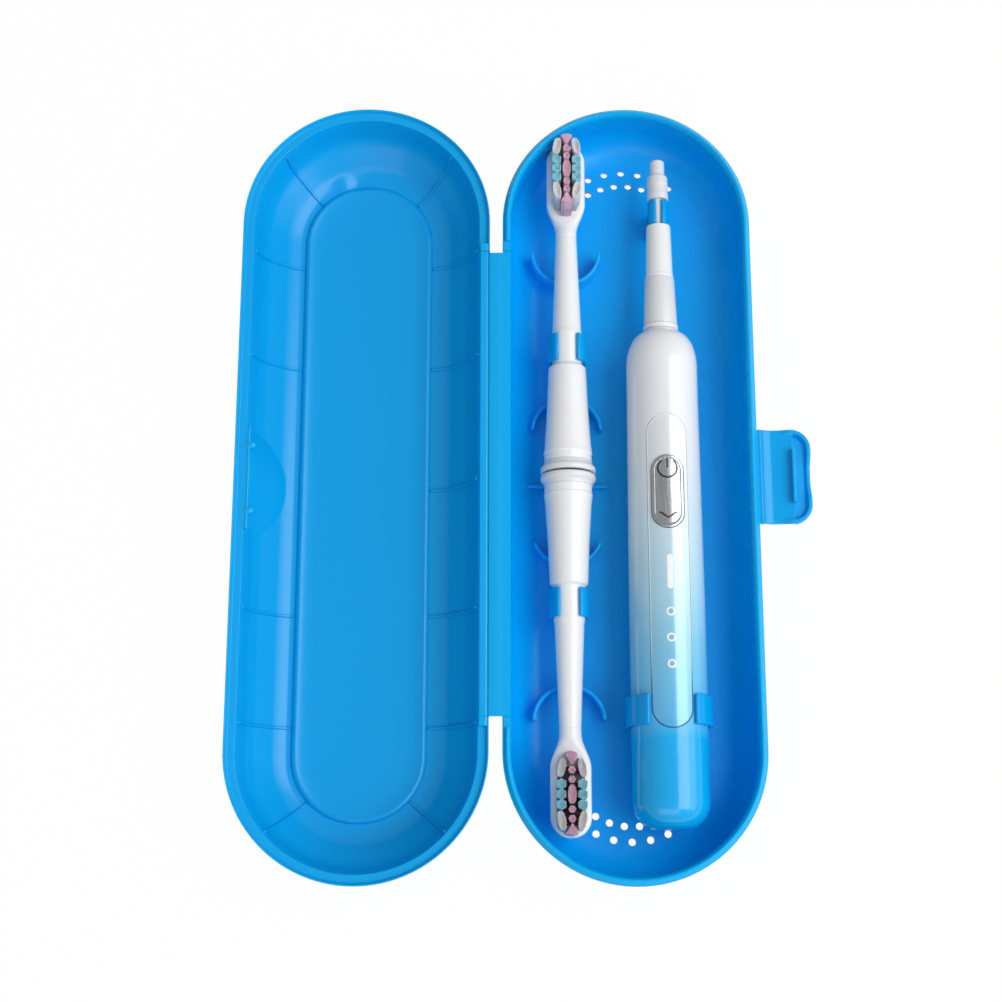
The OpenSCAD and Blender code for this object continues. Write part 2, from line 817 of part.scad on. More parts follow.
// Trough under battery and motor, with two walls and the plate that holds the motor's nose
module chassis() {
    from = battery_at;
    color("lightgray")
        along_handle()
            difference() {
                union() {
                    intersection() {
                        tube(trough_out, trough_in, from, front_plate_at + skin);
                        block([-trough_out, trough_in / 3, 0], [trough_out, trough_out, neck_at]);
                    }
                    difference() {
                        union() {
                            rod(bulkhead_r, mid_wall_at, mid_wall_at + bulkhead_t);
                            rod(bulkhead_r - 0.15, rear_wall_at, rear_wall_at + 1.9);
                        }
                        block([-bulkhead_r, -bulkhead_r - over, 0], [bulkhead_r, -board_z, neck_at]);
                    }
                    rod(front_plate_r, front_plate_at, front_plate_at + bulkhead_t);
                }
                rod(motor_nose_r + skin, front_plate_at - over, front_plate_at + bulkhead_t + over);
            }
}

module circuit_board() {
    top = board_z + board_t;
    back = rear_wall_at + 1.2 - board_len;
    color("green")
        along_handle() {
            block([-board_w / 2, -top, back], [board_w / 2, -board_z - skin / 5, back + board_len]);
            block([-1.6, -top - 0.45, bar_at + 8], [1.6, -top + skin, bar_at + 11.2]);
            for (i = [0:mode_count - 1])
                translate([0, 0, mode_at + i * mode_step])
                    block([-0.8, -top - 0.4, -0.6], [0.8, -top + skin, 0.6]);
        }
}

module press_switch() {
    top = board_z + board_t;
    color("black")
        along_handle()
            translate([0, -top, button_at])
                rotate([90, 0, 0]) {
                    translate([-1.5, -1.8, skin / 5]) cube([3, 3.6, 0.3]);
                    cylinder(r = 1, h = 0.48, $fn = 32);
                }
}

module charge_coil() {
    color("peru")
        along_handle()
            tube(cap_r + 0.6, cap_r / 2, cavity_at, cavity_at + coil_t);
}

// Round cap let into the handle's lower end, with a boss for its seal
module end_cap() {
    color("deepskyblue")
        along_handle() {
            intersection() {
                rotate_extrude() polygon(body_outline(0));
                rod(cap_r, -over, cap_boss_at);
            }
            rod(cap_r - 0.85, cap_boss_at - skin, cavity_at - skin);
        }
}

module end_cap_seal() {
    thick = 0.85 + skin;
    color("black")
        along_handle()
            translate([0, 0, (cap_boss_at + cavity_at) / 2])
                rotate_extrude()
                    translate([cap_r + skin - thick / 2, 0])
                        circle(r = thick / 2 - 0.03, $fn = 24);
}

// Half outline of a head from its ring to the thin end of its neck
function head_outline() = let (
    groove = taper_len + grip_len,
    thin_at = head_len - plate_len - 9
) [
    [0, 0.4], [ring_r - 1.3, 0.4], [ring_r - 1.3, ring_len], [ring_r - 0.3, ring_len],
    [ring_r - 0.8, ring_len + 5], [(ring_r + taper_r) / 2 - 0.5, taper_len * 0.6],
    [taper_r, taper_len - 1], [taper_r - 0.35, taper_len - 0.3], [grip_r, taper_len],
    [grip_r, groove], [grip_r - 0.25, groove + 1], [thin_r, thin_at], [thin_r, thin_at + 7],
    [thin_r - 1.4, thin_at + 11], [0, thin_at + 11]
];

// Outline of the bristle plate with its flare, seen from above
function plate_outline() = let (
    low = head_len - plate_len - 8,
    w = plate_half_w
) concat(
    [[thin_r - 0.4, low], [thin_r + 0.2, low + 3], [w - 1.1, low + 7], [w, low + 10.5]],
    arc(0, head_len - w, w, 0, 180, 16),
    [[-w, low + 10.5], [1.1 - w, low + 7], [-thin_r - 0.2, low + 3], [0.4 - thin_r, low]]
);

// Outline of the bristle pad, smaller all round by gap
function pad_outline(gap) = let (w = pad_half_w - gap, top = head_len - 1) concat(
    arc(0, top - pad_half_w, w, 0, 180, 12),
    arc(0, top - pad_len + pad_half_w, w, 180, 360, 12)
);

module plate_level(low, high, outline) {
    rotate([90, 0, 0]) translate([0, 0, low]) linear_extrude(high - low) polygon(outline);
}

module head_body(upper) {
    color("white")
        along_head(upper)
            difference() {
                union() {
                    rotate_extrude() polygon(head_outline());
                    plate_level(plate_top - plate_t, plate_top, plate_outline());
                }
                rod(socket_r + 1, -over, socket_len + 2);
                plate_level(plate_top - pad_t, plate_top + over, pad_outline(0));
            }
}

module head_ring(upper) {
    color("gainsboro") along_head(upper) tube(ring_r, ring_r - 1.3 + skin, 0, ring_len - skin);
}

module head_socket(upper) {
    color("lightgray")
        along_head(upper)
            difference() {
                rod(socket_r + 1 - skin, 0.6, socket_len + 2 - skin);
                rod(socket_r, -over, socket_len);
            }
}

// Tufts as centre, half width, half length, lean along the head, spread; counted from the pad's middle
function tufts() = let (r = tuft_r, p = tuft_step, far = pad_len / 2 - 2.5) concat(
    [for (s = [-1, 1]) [0, s * far, 1.8 * r, 1.3 * r, s * 1.3, 1.25]],
    [[0, 0, 0.85 * r, 2.3 * r, 0, 1]],
    [for (s = [-1, 1], i = [0, 1]) [0, s * (3.3 * r + i * 1.9 * r), 0.8 * r, 0.75 * r, 0, 1]],
    [for (side = [-1, 1], i = [-1:1]) [side * tuft_side, i * p, r, r, 0, 1]],
    [for (side = [-1, 1], s = [-1, 1]) [side * tuft_side, s * p * 2.3, 0.6 * r, 1.6 * r, s * 0.4, 1]]
);

// Feet of the bristles of one tuft on a staggered grid
function tuft_feet(t) = [
    for (j = [-4:4], i = [-4:4])
        let (
            x = (i + (j % 2 == 0 ? 0 : 0.5)) * bristle_step,
            y = j * bristle_step * 0.87
        )
        if (pow(x / t[2], 2) + pow(y / t[3], 2) <= 1) [x, y]
];

module bristle(foot, tip, r) {
    turn = [90, 210, 330];
    points = concat(
        [for (a = turn) foot + [r * cos(a), r * sin(a), 0]],
        [for (a = turn) tip + [r * cos(a), r * sin(a), 0]]
    );
    faces = [
        [0, 1, 2], [5, 4, 3],
        [0, 3, 4], [0, 4, 1], [1, 4, 5], [1, 5, 2], [2, 5, 3], [2, 3, 0]
    ];
    polyhedron(points, faces);
}

module head_bristles(upper) {
    mid = head_len - 1 - pad_len / 2;
    color("pink")
        along_head(upper) {
            plate_level(plate_top - pad_t + skin, plate_top, pad_outline(skin));
            translate([0, -plate_top, mid])
                rotate([90, 0, 0])
                    for (t = tufts(), f = tuft_feet(t))
                        bristle(
                            [t[0] + f[0], t[1] + f[1], -0.4],
                            [t[0] + f[0] * t[5], t[1] + f[1] * t[5] + t[4], bristle_len],
                            bristle_r
                        );
        }
}

// Two fingers round a bar that lies along +Y at height z, on a stem from the tray's floor
module clip(x, y, z, bar_r, t, mouth, stem_w, length) {
    r_in = bar_r + clip_fit;
    translate([x, y, 0])
        difference() {
            union() {
                translate([0, 0, z]) rotate([90, 0, 0]) cylinder(r = r_in + t, h = length, center = true);
                block([-stem_w / 2, -length / 2, wall_t], [stem_w / 2, length / 2, z]);
            }
            translate([0, 0, z]) rotate([90, 0, 0]) cylinder(r = r_in, h = length + 2 * over, center = true);
            block([-mouth / 2, -length, z], [mouth / 2, length, z + r_in + t + over]);
            block([-r_in - t - over, -length, -shell_h], [r_in + t + over, length, wall_t]);
        }
}

module handle_clip() {
    at = handle_y + handle_clip_at;
    color("deepskyblue")
        clip(handle_x, at, handle_z, body_r, big_clip_t, handle_mouth, handle_stem, clip_len);
}

module shaft_clip() {
    at = handle_y + mouth_at + bare_len / 2;
    color("deepskyblue")
        clip(handle_x, at, handle_z, shaft_r, clip_t - 0.1, shaft_mouth, shaft_stem, bare_len - 0.6);
}

module head_clip(upper) {
    at = heads_meet_y + (upper ? clip_mid : -clip_mid);
    color("deepskyblue")
        clip(-head_x, at, head_z, grip_r, clip_t, head_mouth, head_stem, clip_len);
}

// Radius of a head's body at a distance from its ring
function taper_at(s) = lookup(s, [for (p = head_outline()) if (p[0] > 0 && p[1] >= ring_len) [p[1], p[0]]]);

// A curved wall under a head: an arc that bulges towards dir, with arms that reach back from it
module curved_saddle(s, upper, dir, reach) {
    y = heads_meet_y + (upper ? s : -s);
    top = head_z - taper_at(s) - saddle_gap;
    bulge = upper ? dir : -dir;
    centre = y - bulge * saddle_r;
    back = y - bulge * reach;
    difference() {
        translate([-head_x, centre, wall_t]) {
            difference() {
                cylinder(r = saddle_r, h = top - wall_t);
                translate([0, 0, -over]) cylinder(r = saddle_r - saddle_t, h = top + over);
            }
        }
        translate([-head_x, back - bulge * saddle_r * 2, shell_h / 2])
            cube([4 * saddle_r, 4 * saddle_r, 2 * shell_h], center = true);
    }
}

module saddles() {
    under_ring = head_z - ring_r - saddle_gap;
    bar_y = heads_meet_y - 1.1;
    color("dodgerblue")
        intersection() {
            union() {
                for (upper = [true, false]) {
                    curved_saddle(clip_mid + saddle_far, upper, -1, saddle_reach);
                    curved_saddle(clip_mid - saddle_near, upper, 1, upper ? saddle_reach : saddle_short);
                }
                block(
                    [-head_x - bar_half, bar_y - saddle_t / 2, wall_t],
                    [-head_x + bar_half, bar_y + saddle_t / 2, under_ring]
                );
            }
            sweep_case(hollow_section(0.03));
        }
}

base_tray();
lid_shell();
hinge_strap();
latch();
saddles();
handle_clip();
shaft_clip();
head_clip(true);  // head_clip_upper
head_clip(false);  // head_clip_lower
handle_shell();
handle_neck();
neck_ring();
nose_sleeve();
shaft_seal();
drive_shaft();
control_panel();
power_button();
button_gasket();
light_bar();
mode_lights();
circuit_board();
press_switch();
battery();
motor();
chassis();
charge_coil();
end_cap();
end_cap_seal();
head_body(true);  // head_upper_body
head_ring(true);  // head_upper_ring
head_socket(true);  // head_upper_socket
head_bristles(true);  // head_upper_bristles
head_body(false);  // head_lower_body
head_ring(false);  // head_lower_ring
head_socket(false);  // head_lower_socket
head_bristles(false);  // head_lower_bristles
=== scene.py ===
# %% [markdown]
# # A travel case lying open, with a brush handle and two spare heads
#
# The case is moulded in blue plastic. Its two halves are joined by a flat strap, and a latch hangs on
# the tray's other side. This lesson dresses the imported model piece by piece. Every length below is in
# millimetres, and a mesh is turned into metres only when it is handed to Blender.

# %% Load the frame
import math

import bmesh
import bpy
import numpy as np
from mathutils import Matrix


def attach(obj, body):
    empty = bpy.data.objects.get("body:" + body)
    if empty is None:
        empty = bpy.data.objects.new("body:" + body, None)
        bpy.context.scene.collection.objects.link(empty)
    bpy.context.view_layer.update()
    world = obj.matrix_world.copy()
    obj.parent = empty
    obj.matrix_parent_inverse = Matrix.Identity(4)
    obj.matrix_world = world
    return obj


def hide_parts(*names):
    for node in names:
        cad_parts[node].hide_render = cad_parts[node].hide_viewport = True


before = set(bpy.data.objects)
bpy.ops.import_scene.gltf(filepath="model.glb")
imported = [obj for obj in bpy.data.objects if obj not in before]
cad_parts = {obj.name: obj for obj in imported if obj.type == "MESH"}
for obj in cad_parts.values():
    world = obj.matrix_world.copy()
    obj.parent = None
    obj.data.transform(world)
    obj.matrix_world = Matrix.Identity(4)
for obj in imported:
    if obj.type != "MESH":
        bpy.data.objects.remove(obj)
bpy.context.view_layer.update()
print("solids in the frame:", len(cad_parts))

# %% [markdown]
# ## Sizes
#
# The case is two copies of one long tray form: straight sides, round ends, a floor that blends into the
# wall. These numbers describe its section, the places of the contents, and the lines of the hinge.

# %% Sizes of the case
MM = 0.001
SHELL_H = 18.2
RIM_R = 35.0
INNER_R = 32.7
WALL_R = 34.1
FOOT_R = 24.0
BLEND_R = 8.7
WALL_T = 1.4
BLEND_Z = BLEND_R + WALL_T
RIM_LOW = 16.6
END_AT = 74.7
REBATE_Z = 16.9
RIB_AT = (-67.0, -36.0, 36.0, 67.0)
STRAP_HALF = 66.0
STRAP_DROP = 0.7
LIP_GAP_HALF = 68.8
REBATE_GAP_HALF = 68.2
NUDGE = 0.01
LID_X = -73.6

# %% Places of the contents
HANDLE_X = 9.6
HANDLE_Y = -95.0
HANDLE_Z = 13.4
HEAD_X = -16.8
HEAD_Z = 11.2
HEADS_MEET_Y = 2.1
HEAD_GAP = 0.3


# %% [markdown]
# ## From arrays to meshes
#
# A surface is worked out as a grid of points: one direction runs round or along the piece, the other
# across it. Four neighbouring grid points make one face. Where a grid closes on itself, or ends in a
# point, the doubled points are merged, so the mesh has no seam and no hole. Blender offers many
# modelling tools by hand; a grid of points is chosen because it can be read, measured and changed.

# %% Grids and meshes
def full_turn(n):
    """Angles of n even steps round a circle."""
    return np.linspace(0, 2 * math.pi, n, endpoint=False)


def grid_faces(rows, cols, close_rows=False, close_cols=False):
    """Four corners for each cell of a grid; a closed direction joins its last line to its first."""
    a = np.arange(rows if close_rows else rows - 1)[:, None]
    b = np.arange(cols if close_cols else cols - 1)[None, :]
    a_next = (a + 1) % rows
    b_next = (b + 1) % cols
    corners = [a * cols + b, a_next * cols + b, a_next * cols + b_next, a * cols + b_next]
    return np.stack(corners, axis=-1).reshape(-1, 4)


def as_arrays(grid, close_rows=False, close_cols=True):
    """A grid of points as one list of points and its faces."""
    return grid.reshape(-1, 3), grid_faces(*grid.shape[:2], close_rows, close_cols)


def repeat_faces(faces, count, points_each):
    """The same faces for many copies of a form whose points follow one another."""
    starts = np.arange(count) * points_each
    return (faces[None] + starts[:, None, None]).reshape(-1, faces.shape[1])


def join_parts(parts):
    """One pair of arrays from several (points, faces) pairs with faces of the same number of corners."""
    starts = np.cumsum([0] + [len(points) for points, _ in parts[:-1]])
    points = np.concatenate([points for points, _ in parts])
    faces = np.concatenate([faces + start for (_, faces), start in zip(parts, starts)])
    return points, faces


def fill_mesh(name, points, faces):
    """A mesh from an (n, 3) array in millimetres and an (m, k) array of corner numbers."""
    mesh = bpy.data.meshes.new(name)
    mesh.vertices.add(len(points))
    mesh.vertices.foreach_set("co", (points * MM).astype(np.float32).ravel())
    mesh.loops.add(faces.size)
    mesh.loops.foreach_set("vertex_index", faces.astype(np.int32).ravel())
    mesh.polygons.add(len(faces))
    mesh.polygons.foreach_set("loop_start", np.arange(len(faces), dtype=np.int32) * faces.shape[1])
    mesh.update(calc_edges=True)
    return mesh


def shade(mesh, sharp):
    """Shades a mesh smooth, apart from edges that turn by more than the given degrees."""
    mesh.polygons.foreach_set("use_smooth", np.ones(len(mesh.polygons), dtype=bool))
    mesh.set_sharp_from_angle(angle=math.radians(sharp))
    return mesh


def weld(mesh, sharp=38.0):
    """Merges doubled points, drops faces without area, turns the faces outwards and shades them."""
    work = bmesh.new()
    work.from_mesh(mesh)
    bmesh.ops.remove_doubles(work, verts=work.verts, dist=2e-6)
    bmesh.ops.dissolve_degenerate(work, dist=1e-7, edges=work.edges)
    bmesh.ops.recalc_face_normals(work, faces=work.faces)
    work.to_mesh(mesh)
    work.free()
    return shade(mesh, sharp)


def put(name, data):
    """A new object in the scene that holds a mesh, a lamp or a camera."""
    item = bpy.data.objects.new(name, data)
    bpy.context.scene.collection.objects.link(item)
    return item


def show_piece(name, mesh, material, body, slot, nodes=()):
    """Puts a finished mesh in the scene at the origin, on its body, in place of the named solids."""
    piece = put(name, mesh)
    mesh.materials.clear()
    mesh.materials.append(material)
    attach(piece, body)
    if nodes:
        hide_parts(*nodes)
    print(f"{name}: {len(mesh.polygons)} faces on {body}")


def show_form(name, arrays, *looks):
    """Fills and welds a mesh from its points and faces, and shows it."""
    show_piece(name, weld(fill_mesh(name, *arrays)), *looks)


# %% Cutting and rounding with modifiers
def bake(target, sharp):
    """The mesh of an object as its modifiers leave it, shaded again; the object goes."""
    graph = bpy.context.evaluated_depsgraph_get()
    mesh = bpy.data.meshes.new_from_object(target.evaluated_get(graph))
    bpy.data.objects.remove(target)
    return shade(mesh, sharp)


def cut_away(mesh, arrays):
    """The mesh less the space inside the cutter's arrays, worked out exactly."""
    target = put("target", mesh)
    cutter = put("cutter", weld(fill_mesh("cutter", *arrays)))
    step = target.modifiers.new("cut", "BOOLEAN")
    step.operation = "DIFFERENCE"
    step.solver = "EXACT"
    step.object = cutter
    result = bake(target, 38.0)
    bpy.data.objects.remove(cutter)
    return result


def round_edges(mesh, width, angle):
    """The mesh with its sharp edges rounded over the given width in millimetres."""
    target = put("target", mesh)
    step = target.modifiers.new("round", "BEVEL")
    step.width = width * MM
    step.segments = 3
    step.limit_method = "ANGLE"
    step.angle_limit = math.radians(angle)
    step.harden_normals = False
    return bake(target, angle)


# %% Bands
def swept_band(section, along):
    """A closed section in X and Z carried along Y, with both ends closed by one line of faces."""
    middle = section.mean(axis=0)
    rows = np.concatenate([[along[0]], along, [along[-1]]])
    shrink = np.concatenate([[0.0], np.ones(len(along)), [0.0]])
    flat = middle + (section[None] - middle) * shrink[:, None, None]
    y_rows = np.broadcast_to(rows[:, None], flat.shape[:2])
    return as_arrays(np.stack([flat[..., 0], y_rows, flat[..., 1]], axis=-1))


# %% Small curves
def arc_points(x, y, r, start, stop, n):
    """Points on a circle about (x, y) from one angle to another, in degrees."""
    a = np.radians(np.linspace(start, stop, n))
    return np.stack([x + r * np.cos(a), y + r * np.sin(a)], axis=1)


def soft_path(corners, sizes, steps=5):
    """A chain of straight lines whose corners are eased: each corner is a parabola that starts and ends at
    its size along the two lines that meet there."""
    corners = np.asarray(corners, float)
    t = np.linspace(0, 1, steps)[:, None]
    chain = [corners[:1]]
    for before, here, after, size in zip(corners[:-2], corners[1:-1], corners[2:], sizes):
        back = here + (before - here) / np.linalg.norm(before - here) * size
        ahead = here + (after - here) / np.linalg.norm(after - here) * size
        chain.append((1 - t) ** 2 * back + 2 * t * (1 - t) * here + t ** 2 * ahead)
    chain.append(corners[-1:])
    return np.concatenate(chain)


def ease(x, low, high):
    """0 below low, 1 above high, and a smooth step between them."""
    t = np.clip((x - low) / (high - low), 0, 1)
    return t * t * (3 - 2 * t)


def path_normals(path):
    """Unit normals of a flat path: the direction along it, turned by a quarter."""
    along = np.gradient(path, axis=0)
    along /= np.linalg.norm(along, axis=1, keepdims=True) + 1e-9
    return np.stack([-along[:, 1], along[:, 0]], axis=1)


def end_round(from_end, half):
    """Share of a thickness near the ends of a bead or a wall: the ends run out in a half circle."""
    return np.sqrt(np.clip(1 - np.clip((half - from_end) / half, 0, 1) ** 2, 0, 1))


# %% [markdown]
# ## Moulded plastic
#
# Moulded plastic is never one flat colour. The melt leaves faint clouds in it, the steel of the mould
# leaves a fine grain, and the gloss changes a little from place to place. One node group makes these
# three effects, and each plastic places it with its own values. A picture could carry them too, but a
# pattern worked out from the object's own coordinates stays sharp at any distance.

# %% Colours and node helpers
def paint(red, green, blue):
    """A colour from 0 to 255 as shown on a screen, turned into the linear values that Blender mixes."""
    shown = np.array([red, green, blue]) / 255.0
    linear = np.where(shown <= 0.04045, shown / 12.92, ((shown + 0.055) / 1.055) ** 2.4)
    return (*linear.tolist(), 1.0)


def feed(tree, sockets, values):
    """Fills sockets by name or place: another node's output is linked in, a plain value is set."""
    for key, value in values.items():
        if isinstance(value, bpy.types.NodeSocket):
            tree.links.new(value, sockets[key])
        else:
            sockets[key].default_value = value


def new_group(name, inputs, outputs):
    """An empty shader node group with named sockets: the group, its tree's input and its output node."""
    group = bpy.data.node_groups.new(name, "ShaderNodeTree")
    for title, kind, value in inputs:
        socket = group.interface.new_socket(name=title, in_out="INPUT", socket_type="NodeSocket" + kind)
        socket.default_value = value
    for title, kind in outputs:
        group.interface.new_socket(name=title, in_out="OUTPUT", socket_type="NodeSocket" + kind)
    return group, group.nodes.new("NodeGroupInput").outputs, group.nodes.new("NodeGroupOutput").inputs


def object_place(tree):
    """The object's own coordinates, in metres."""
    return tree.nodes.new("ShaderNodeTexCoord").outputs["Object"]


def add_noise(tree, vector, scale, detail):
    """A noise pattern over the given coordinates; scale counts its lumps in a metre."""
    noise = tree.nodes.new("ShaderNodeTexNoise")
    feed(tree, noise.inputs, {"Scale": scale, "Detail": detail, "Vector": vector})
    return noise.outputs["Fac"]


def add_math(tree, operation, first, second):
    """One sum; each side is a socket or a plain number."""
    node = tree.nodes.new("ShaderNodeMath")
    node.operation = operation
    feed(tree, node.inputs, {0: first, 1: second})
    return node.outputs[0]


def add_mix(tree, share, first, second):
    """A colour between two colours; each is a socket or a plain colour."""
    node = tree.nodes.new("ShaderNodeMix")
    node.data_type = "RGBA"
    feed(tree, node.inputs, {0: share, 6: first, 7: second})
    return node.outputs[2]


# %% Group for moulded plastic
def make_moulded_skin():
    """Clouded colour, uneven gloss and fine grain from three noises of different scale."""
    group, given, result = new_group(
        "moulded_skin",
        [("Colour", "Color", (0.8, 0.8, 0.8, 1.0)), ("Cloud", "Float", 0.05), ("Gloss", "Float", 0.3),
         ("Grain", "Float", 0.5)],
        [("Colour", "Color"), ("Roughness", "Float"), ("Height", "Float")],
    )
    place = object_place(group)
    clouds = add_noise(group, place, 38.0, 2.0)
    patches = add_noise(group, place, 170.0, 3.0)
    grain = add_noise(group, place, 2600.0, 2.0)
    share = add_math(group, "MULTIPLY", add_math(group, "SUBTRACT", clouds, 0.25), given["Cloud"])
    dark = add_mix(group, 0.5, given["Colour"], (0.0, 0.02, 0.06, 1.0))
    uneven = add_math(group, "MULTIPLY", add_math(group, "SUBTRACT", patches, 0.5), 0.06)
    feed(group, result, {
        "Colour": add_mix(group, share, given["Colour"], dark),
        "Roughness": add_math(group, "ADD", given["Gloss"], uneven),
        "Height": add_math(group, "MULTIPLY", grain, given["Grain"]),
    })
    return group


MOULDED_SKIN = make_moulded_skin()


def start_material(name):
    """A new material, its tree and its shader."""
    material = bpy.data.materials.new(name)
    material.use_nodes = True
    return material, material.node_tree, material.node_tree.nodes["Principled BSDF"]


def place_group(tree, group, values):
    """Places a node group with its values and gives its outputs."""
    node = tree.nodes.new("ShaderNodeGroup")
    node.node_tree = group
    feed(tree, node.inputs, values)
    return node.outputs


def bumped(tree, height, depth):
    """A changed normal from a height; depth is the height of 1 in millimetres."""
    bump = tree.nodes.new("ShaderNodeBump")
    feed(tree, bump.inputs, {"Distance": depth * MM, "Strength": 1.0, "Height": height})
    return bump.outputs["Normal"]


def moulded(name, colour, gloss=0.3, specular=0.4, cloud=0.06, grain=0.5, coat=0.0, metallic=0.0):
    """Moulded plastic: the shared group feeds colour, roughness and bump of one shader. The colour is
    plain, or a function that makes it in the material's tree."""
    material, tree, shader = start_material(name)
    base = colour(tree) if callable(colour) else colour
    skin = place_group(tree, MOULDED_SKIN, {"Colour": base, "Cloud": cloud, "Gloss": gloss, "Grain": grain})
    feed(tree, shader.inputs, {
        "Base Color": skin["Colour"], "Roughness": skin["Roughness"],
        "Normal": bumped(tree, skin["Height"], 0.02), "Specular IOR Level": specular,
        "Coat Weight": coat, "Coat Roughness": 0.08, "Metallic": metallic,
    })
    return material


def tinted_by(axis, stops):
    """A function that makes a colour ramp over one object coordinate; stops are (millimetres, colour)."""
    low = stops[0][0]
    high = stops[-1][0]

    def make_ramp(tree):
        split = tree.nodes.new("ShaderNodeSeparateXYZ")
        span = tree.nodes.new("ShaderNodeMapRange")
        ramp = tree.nodes.new("ShaderNodeValToRGB")
        feed(tree, split.inputs, {0: object_place(tree)})
        feed(tree, span.inputs, {"From Min": low * MM, "From Max": high * MM, "Value": split.outputs[axis]})
        feed(tree, ramp.inputs, {"Fac": span.outputs["Result"]})
        marks = ramp.color_ramp.elements
        while len(marks) < len(stops):
            marks.new(0.5)
        for mark, (at, colour) in zip(marks, stops):
            mark.position = (at - low) / (high - low)
            mark.color = paint(*colour)
        return ramp.outputs["Color"]

    return make_ramp


# %% Blue and white plastics
# Painted light: both blues change with height. The rims are tinted more cyan, as brightly lit blue plastic
# looks. The tray's blue, which is bluest on its floor, is lifted above the lid's to stand in for light on
# its shaded floor.
LID_PAINTED_LIGHT_TINT = tinted_by("Z", [
    (0.0, (0, 163, 231)), (14.0, (0, 163, 233)), (16.8, (0, 168, 238)), (18.2, (0, 174, 241)),
])
TRAY_PAINTED_LIGHT_TINT = tinted_by("Z", [
    (0.0, (0, 174, 250)), (14.0, (0, 174, 249)), (16.8, (0, 173, 244)), (18.2, (0, 175, 242)),
])
WHITE = {"specular": 0.5, "cloud": 0.03, "grain": 0.2}
LENS = {"specular": 0.5, "cloud": 0.02, "grain": 0.2}
LID_BLUE = moulded("lid_plastic", LID_PAINTED_LIGHT_TINT, gloss=0.25, specular=0.38)
TRAY_BLUE = moulded("tray_plastic", TRAY_PAINTED_LIGHT_TINT, gloss=0.27, specular=0.24)
STRAP_BLUE = moulded("strap_plastic", paint(6, 170, 240), gloss=0.34, specular=0.24)
LATCH_BLUE = moulded("latch_plastic", paint(0, 166, 238), gloss=0.2, specular=0.3)
CLIP_BLUE = moulded("clip_plastic", paint(0, 162, 236), gloss=0.24, specular=0.28)
WHITE_PLASTIC = moulded("head_plastic", paint(240, 242, 243), gloss=0.24, **WHITE)
RING_PLASTIC = moulded("ring_plastic", paint(228, 230, 232), gloss=0.22, **WHITE)
NECK_PLASTIC = moulded("neck_plastic", paint(226, 229, 230), gloss=0.26, **WHITE)
INNER_PLASTIC = moulded("inner_plastic", paint(196, 198, 200), gloss=0.45, grain=1.0)
BLACK_PLASTIC = moulded("switch_plastic", paint(28, 29, 31), gloss=0.4, grain=0.8)
SEAL_RUBBER = moulded("seal_rubber", paint(52, 55, 60), gloss=0.62, specular=0.25, cloud=0.2, grain=1.6)

# %% [markdown]
# ## The handle's fading colour
#
# The handle is sprayed from its foot upwards: deep sky blue at the foot, paler towards the panel and
# white at the shoulder. The spray follows the handle's length, so a colour ramp read along the object's
# Y coordinate tells it exactly. The panel takes the same ramp under a glossier coat. Its border line is
# white above and painted dark towards the foot: painted shade for the shadow line of the panel's edge
# there. The foot below the clip is the bare blue of the moulding.

# %% Handle colours
FADE_TINT = tinted_by("Y", [
    (-100.0, (4, 170, 238)), (-72.0, (8, 174, 241)), (-66.5, (92, 188, 238)), (-58.0, (108, 196, 238)),
    (-46.0, (134, 204, 236)), (-34.0, (170, 219, 240)), (-22.0, (192, 226, 240)), (-6.0, (216, 232, 241)),
    (10.0, (232, 237, 242)), (50.0, (243, 244, 245)),
])
# Painted shade: the border is dark at the foot, where the panel's edge lies in shadow, and white above.
BORDER_PAINTED_SHADE_TINT = tinted_by("Y", [
    (-72.0, (34, 104, 140)), (-60.0, (60, 130, 160)), (-48.0, (190, 220, 232)), (-20.0, (248, 250, 252)),
])
HANDLE_FADE = moulded("handle_spray", FADE_TINT, gloss=0.2, specular=0.5, cloud=0.02, grain=0.15, coat=0.25)
PANEL_FADE = moulded("panel_spray", FADE_TINT, gloss=0.22, specular=1.0, cloud=0.02, grain=0.2, coat=0.9,
                     metallic=0.1)
HANDLE_BLUE = moulded("foot_plastic", paint(4, 170, 238), gloss=0.22, specular=0.5, cloud=0.03, grain=0.15)
BORDER_PAINTED_SHADE = moulded("border_painted_shade_line", BORDER_PAINTED_SHADE_TINT, gloss=0.3, **LENS)

# %% [markdown]
# ## Metal, lenses, bristles and the parts inside
#
# The power button is brushed steel: thousands of fine lines run one way, which a noise stretched along
# one axis draws. The parts inside the handle are seen only when it is taken apart, and each still gets
# the pattern of its own material: copper turns, printed tracks, a wrapped cell.

# %% Group for drawn lines
def make_drawn_lines():
    """Fine lines along one axis: a noise whose coordinates are squeezed along that axis."""
    group, given, result = new_group(
        "drawn_lines",
        [("Stretch", "Vector", (1.0, 1.0, 1.0)), ("Fineness", "Float", 3000.0)],
        [("Lines", "Float"), ("Roughness", "Float")],
    )
    squeeze = group.nodes.new("ShaderNodeVectorMath")
    squeeze.operation = "MULTIPLY"
    feed(group, squeeze.inputs, {0: object_place(group), 1: given["Stretch"]})
    lines = add_noise(group, squeeze.outputs[0], given["Fineness"], 2.0)
    rough = add_math(group, "ADD", add_math(group, "MULTIPLY", lines, 0.2), 0.14)
    feed(group, result, {"Lines": lines, "Roughness": rough})
    return group


DRAWN_LINES = make_drawn_lines()


def drawn_metal(name, dark, light, stretch, fineness=3000.0, depth=0.01):
    """Metal whose colour, roughness and bump all follow the drawn lines."""
    material, tree, shader = start_material(name)
    drawn = place_group(tree, DRAWN_LINES, {"Stretch": stretch, "Fineness": fineness})
    feed(tree, shader.inputs, {
        "Base Color": add_mix(tree, drawn["Lines"], dark, light), "Roughness": drawn["Roughness"],
        "Metallic": 1.0, "Normal": bumped(tree, drawn["Lines"], depth),
    })
    return material


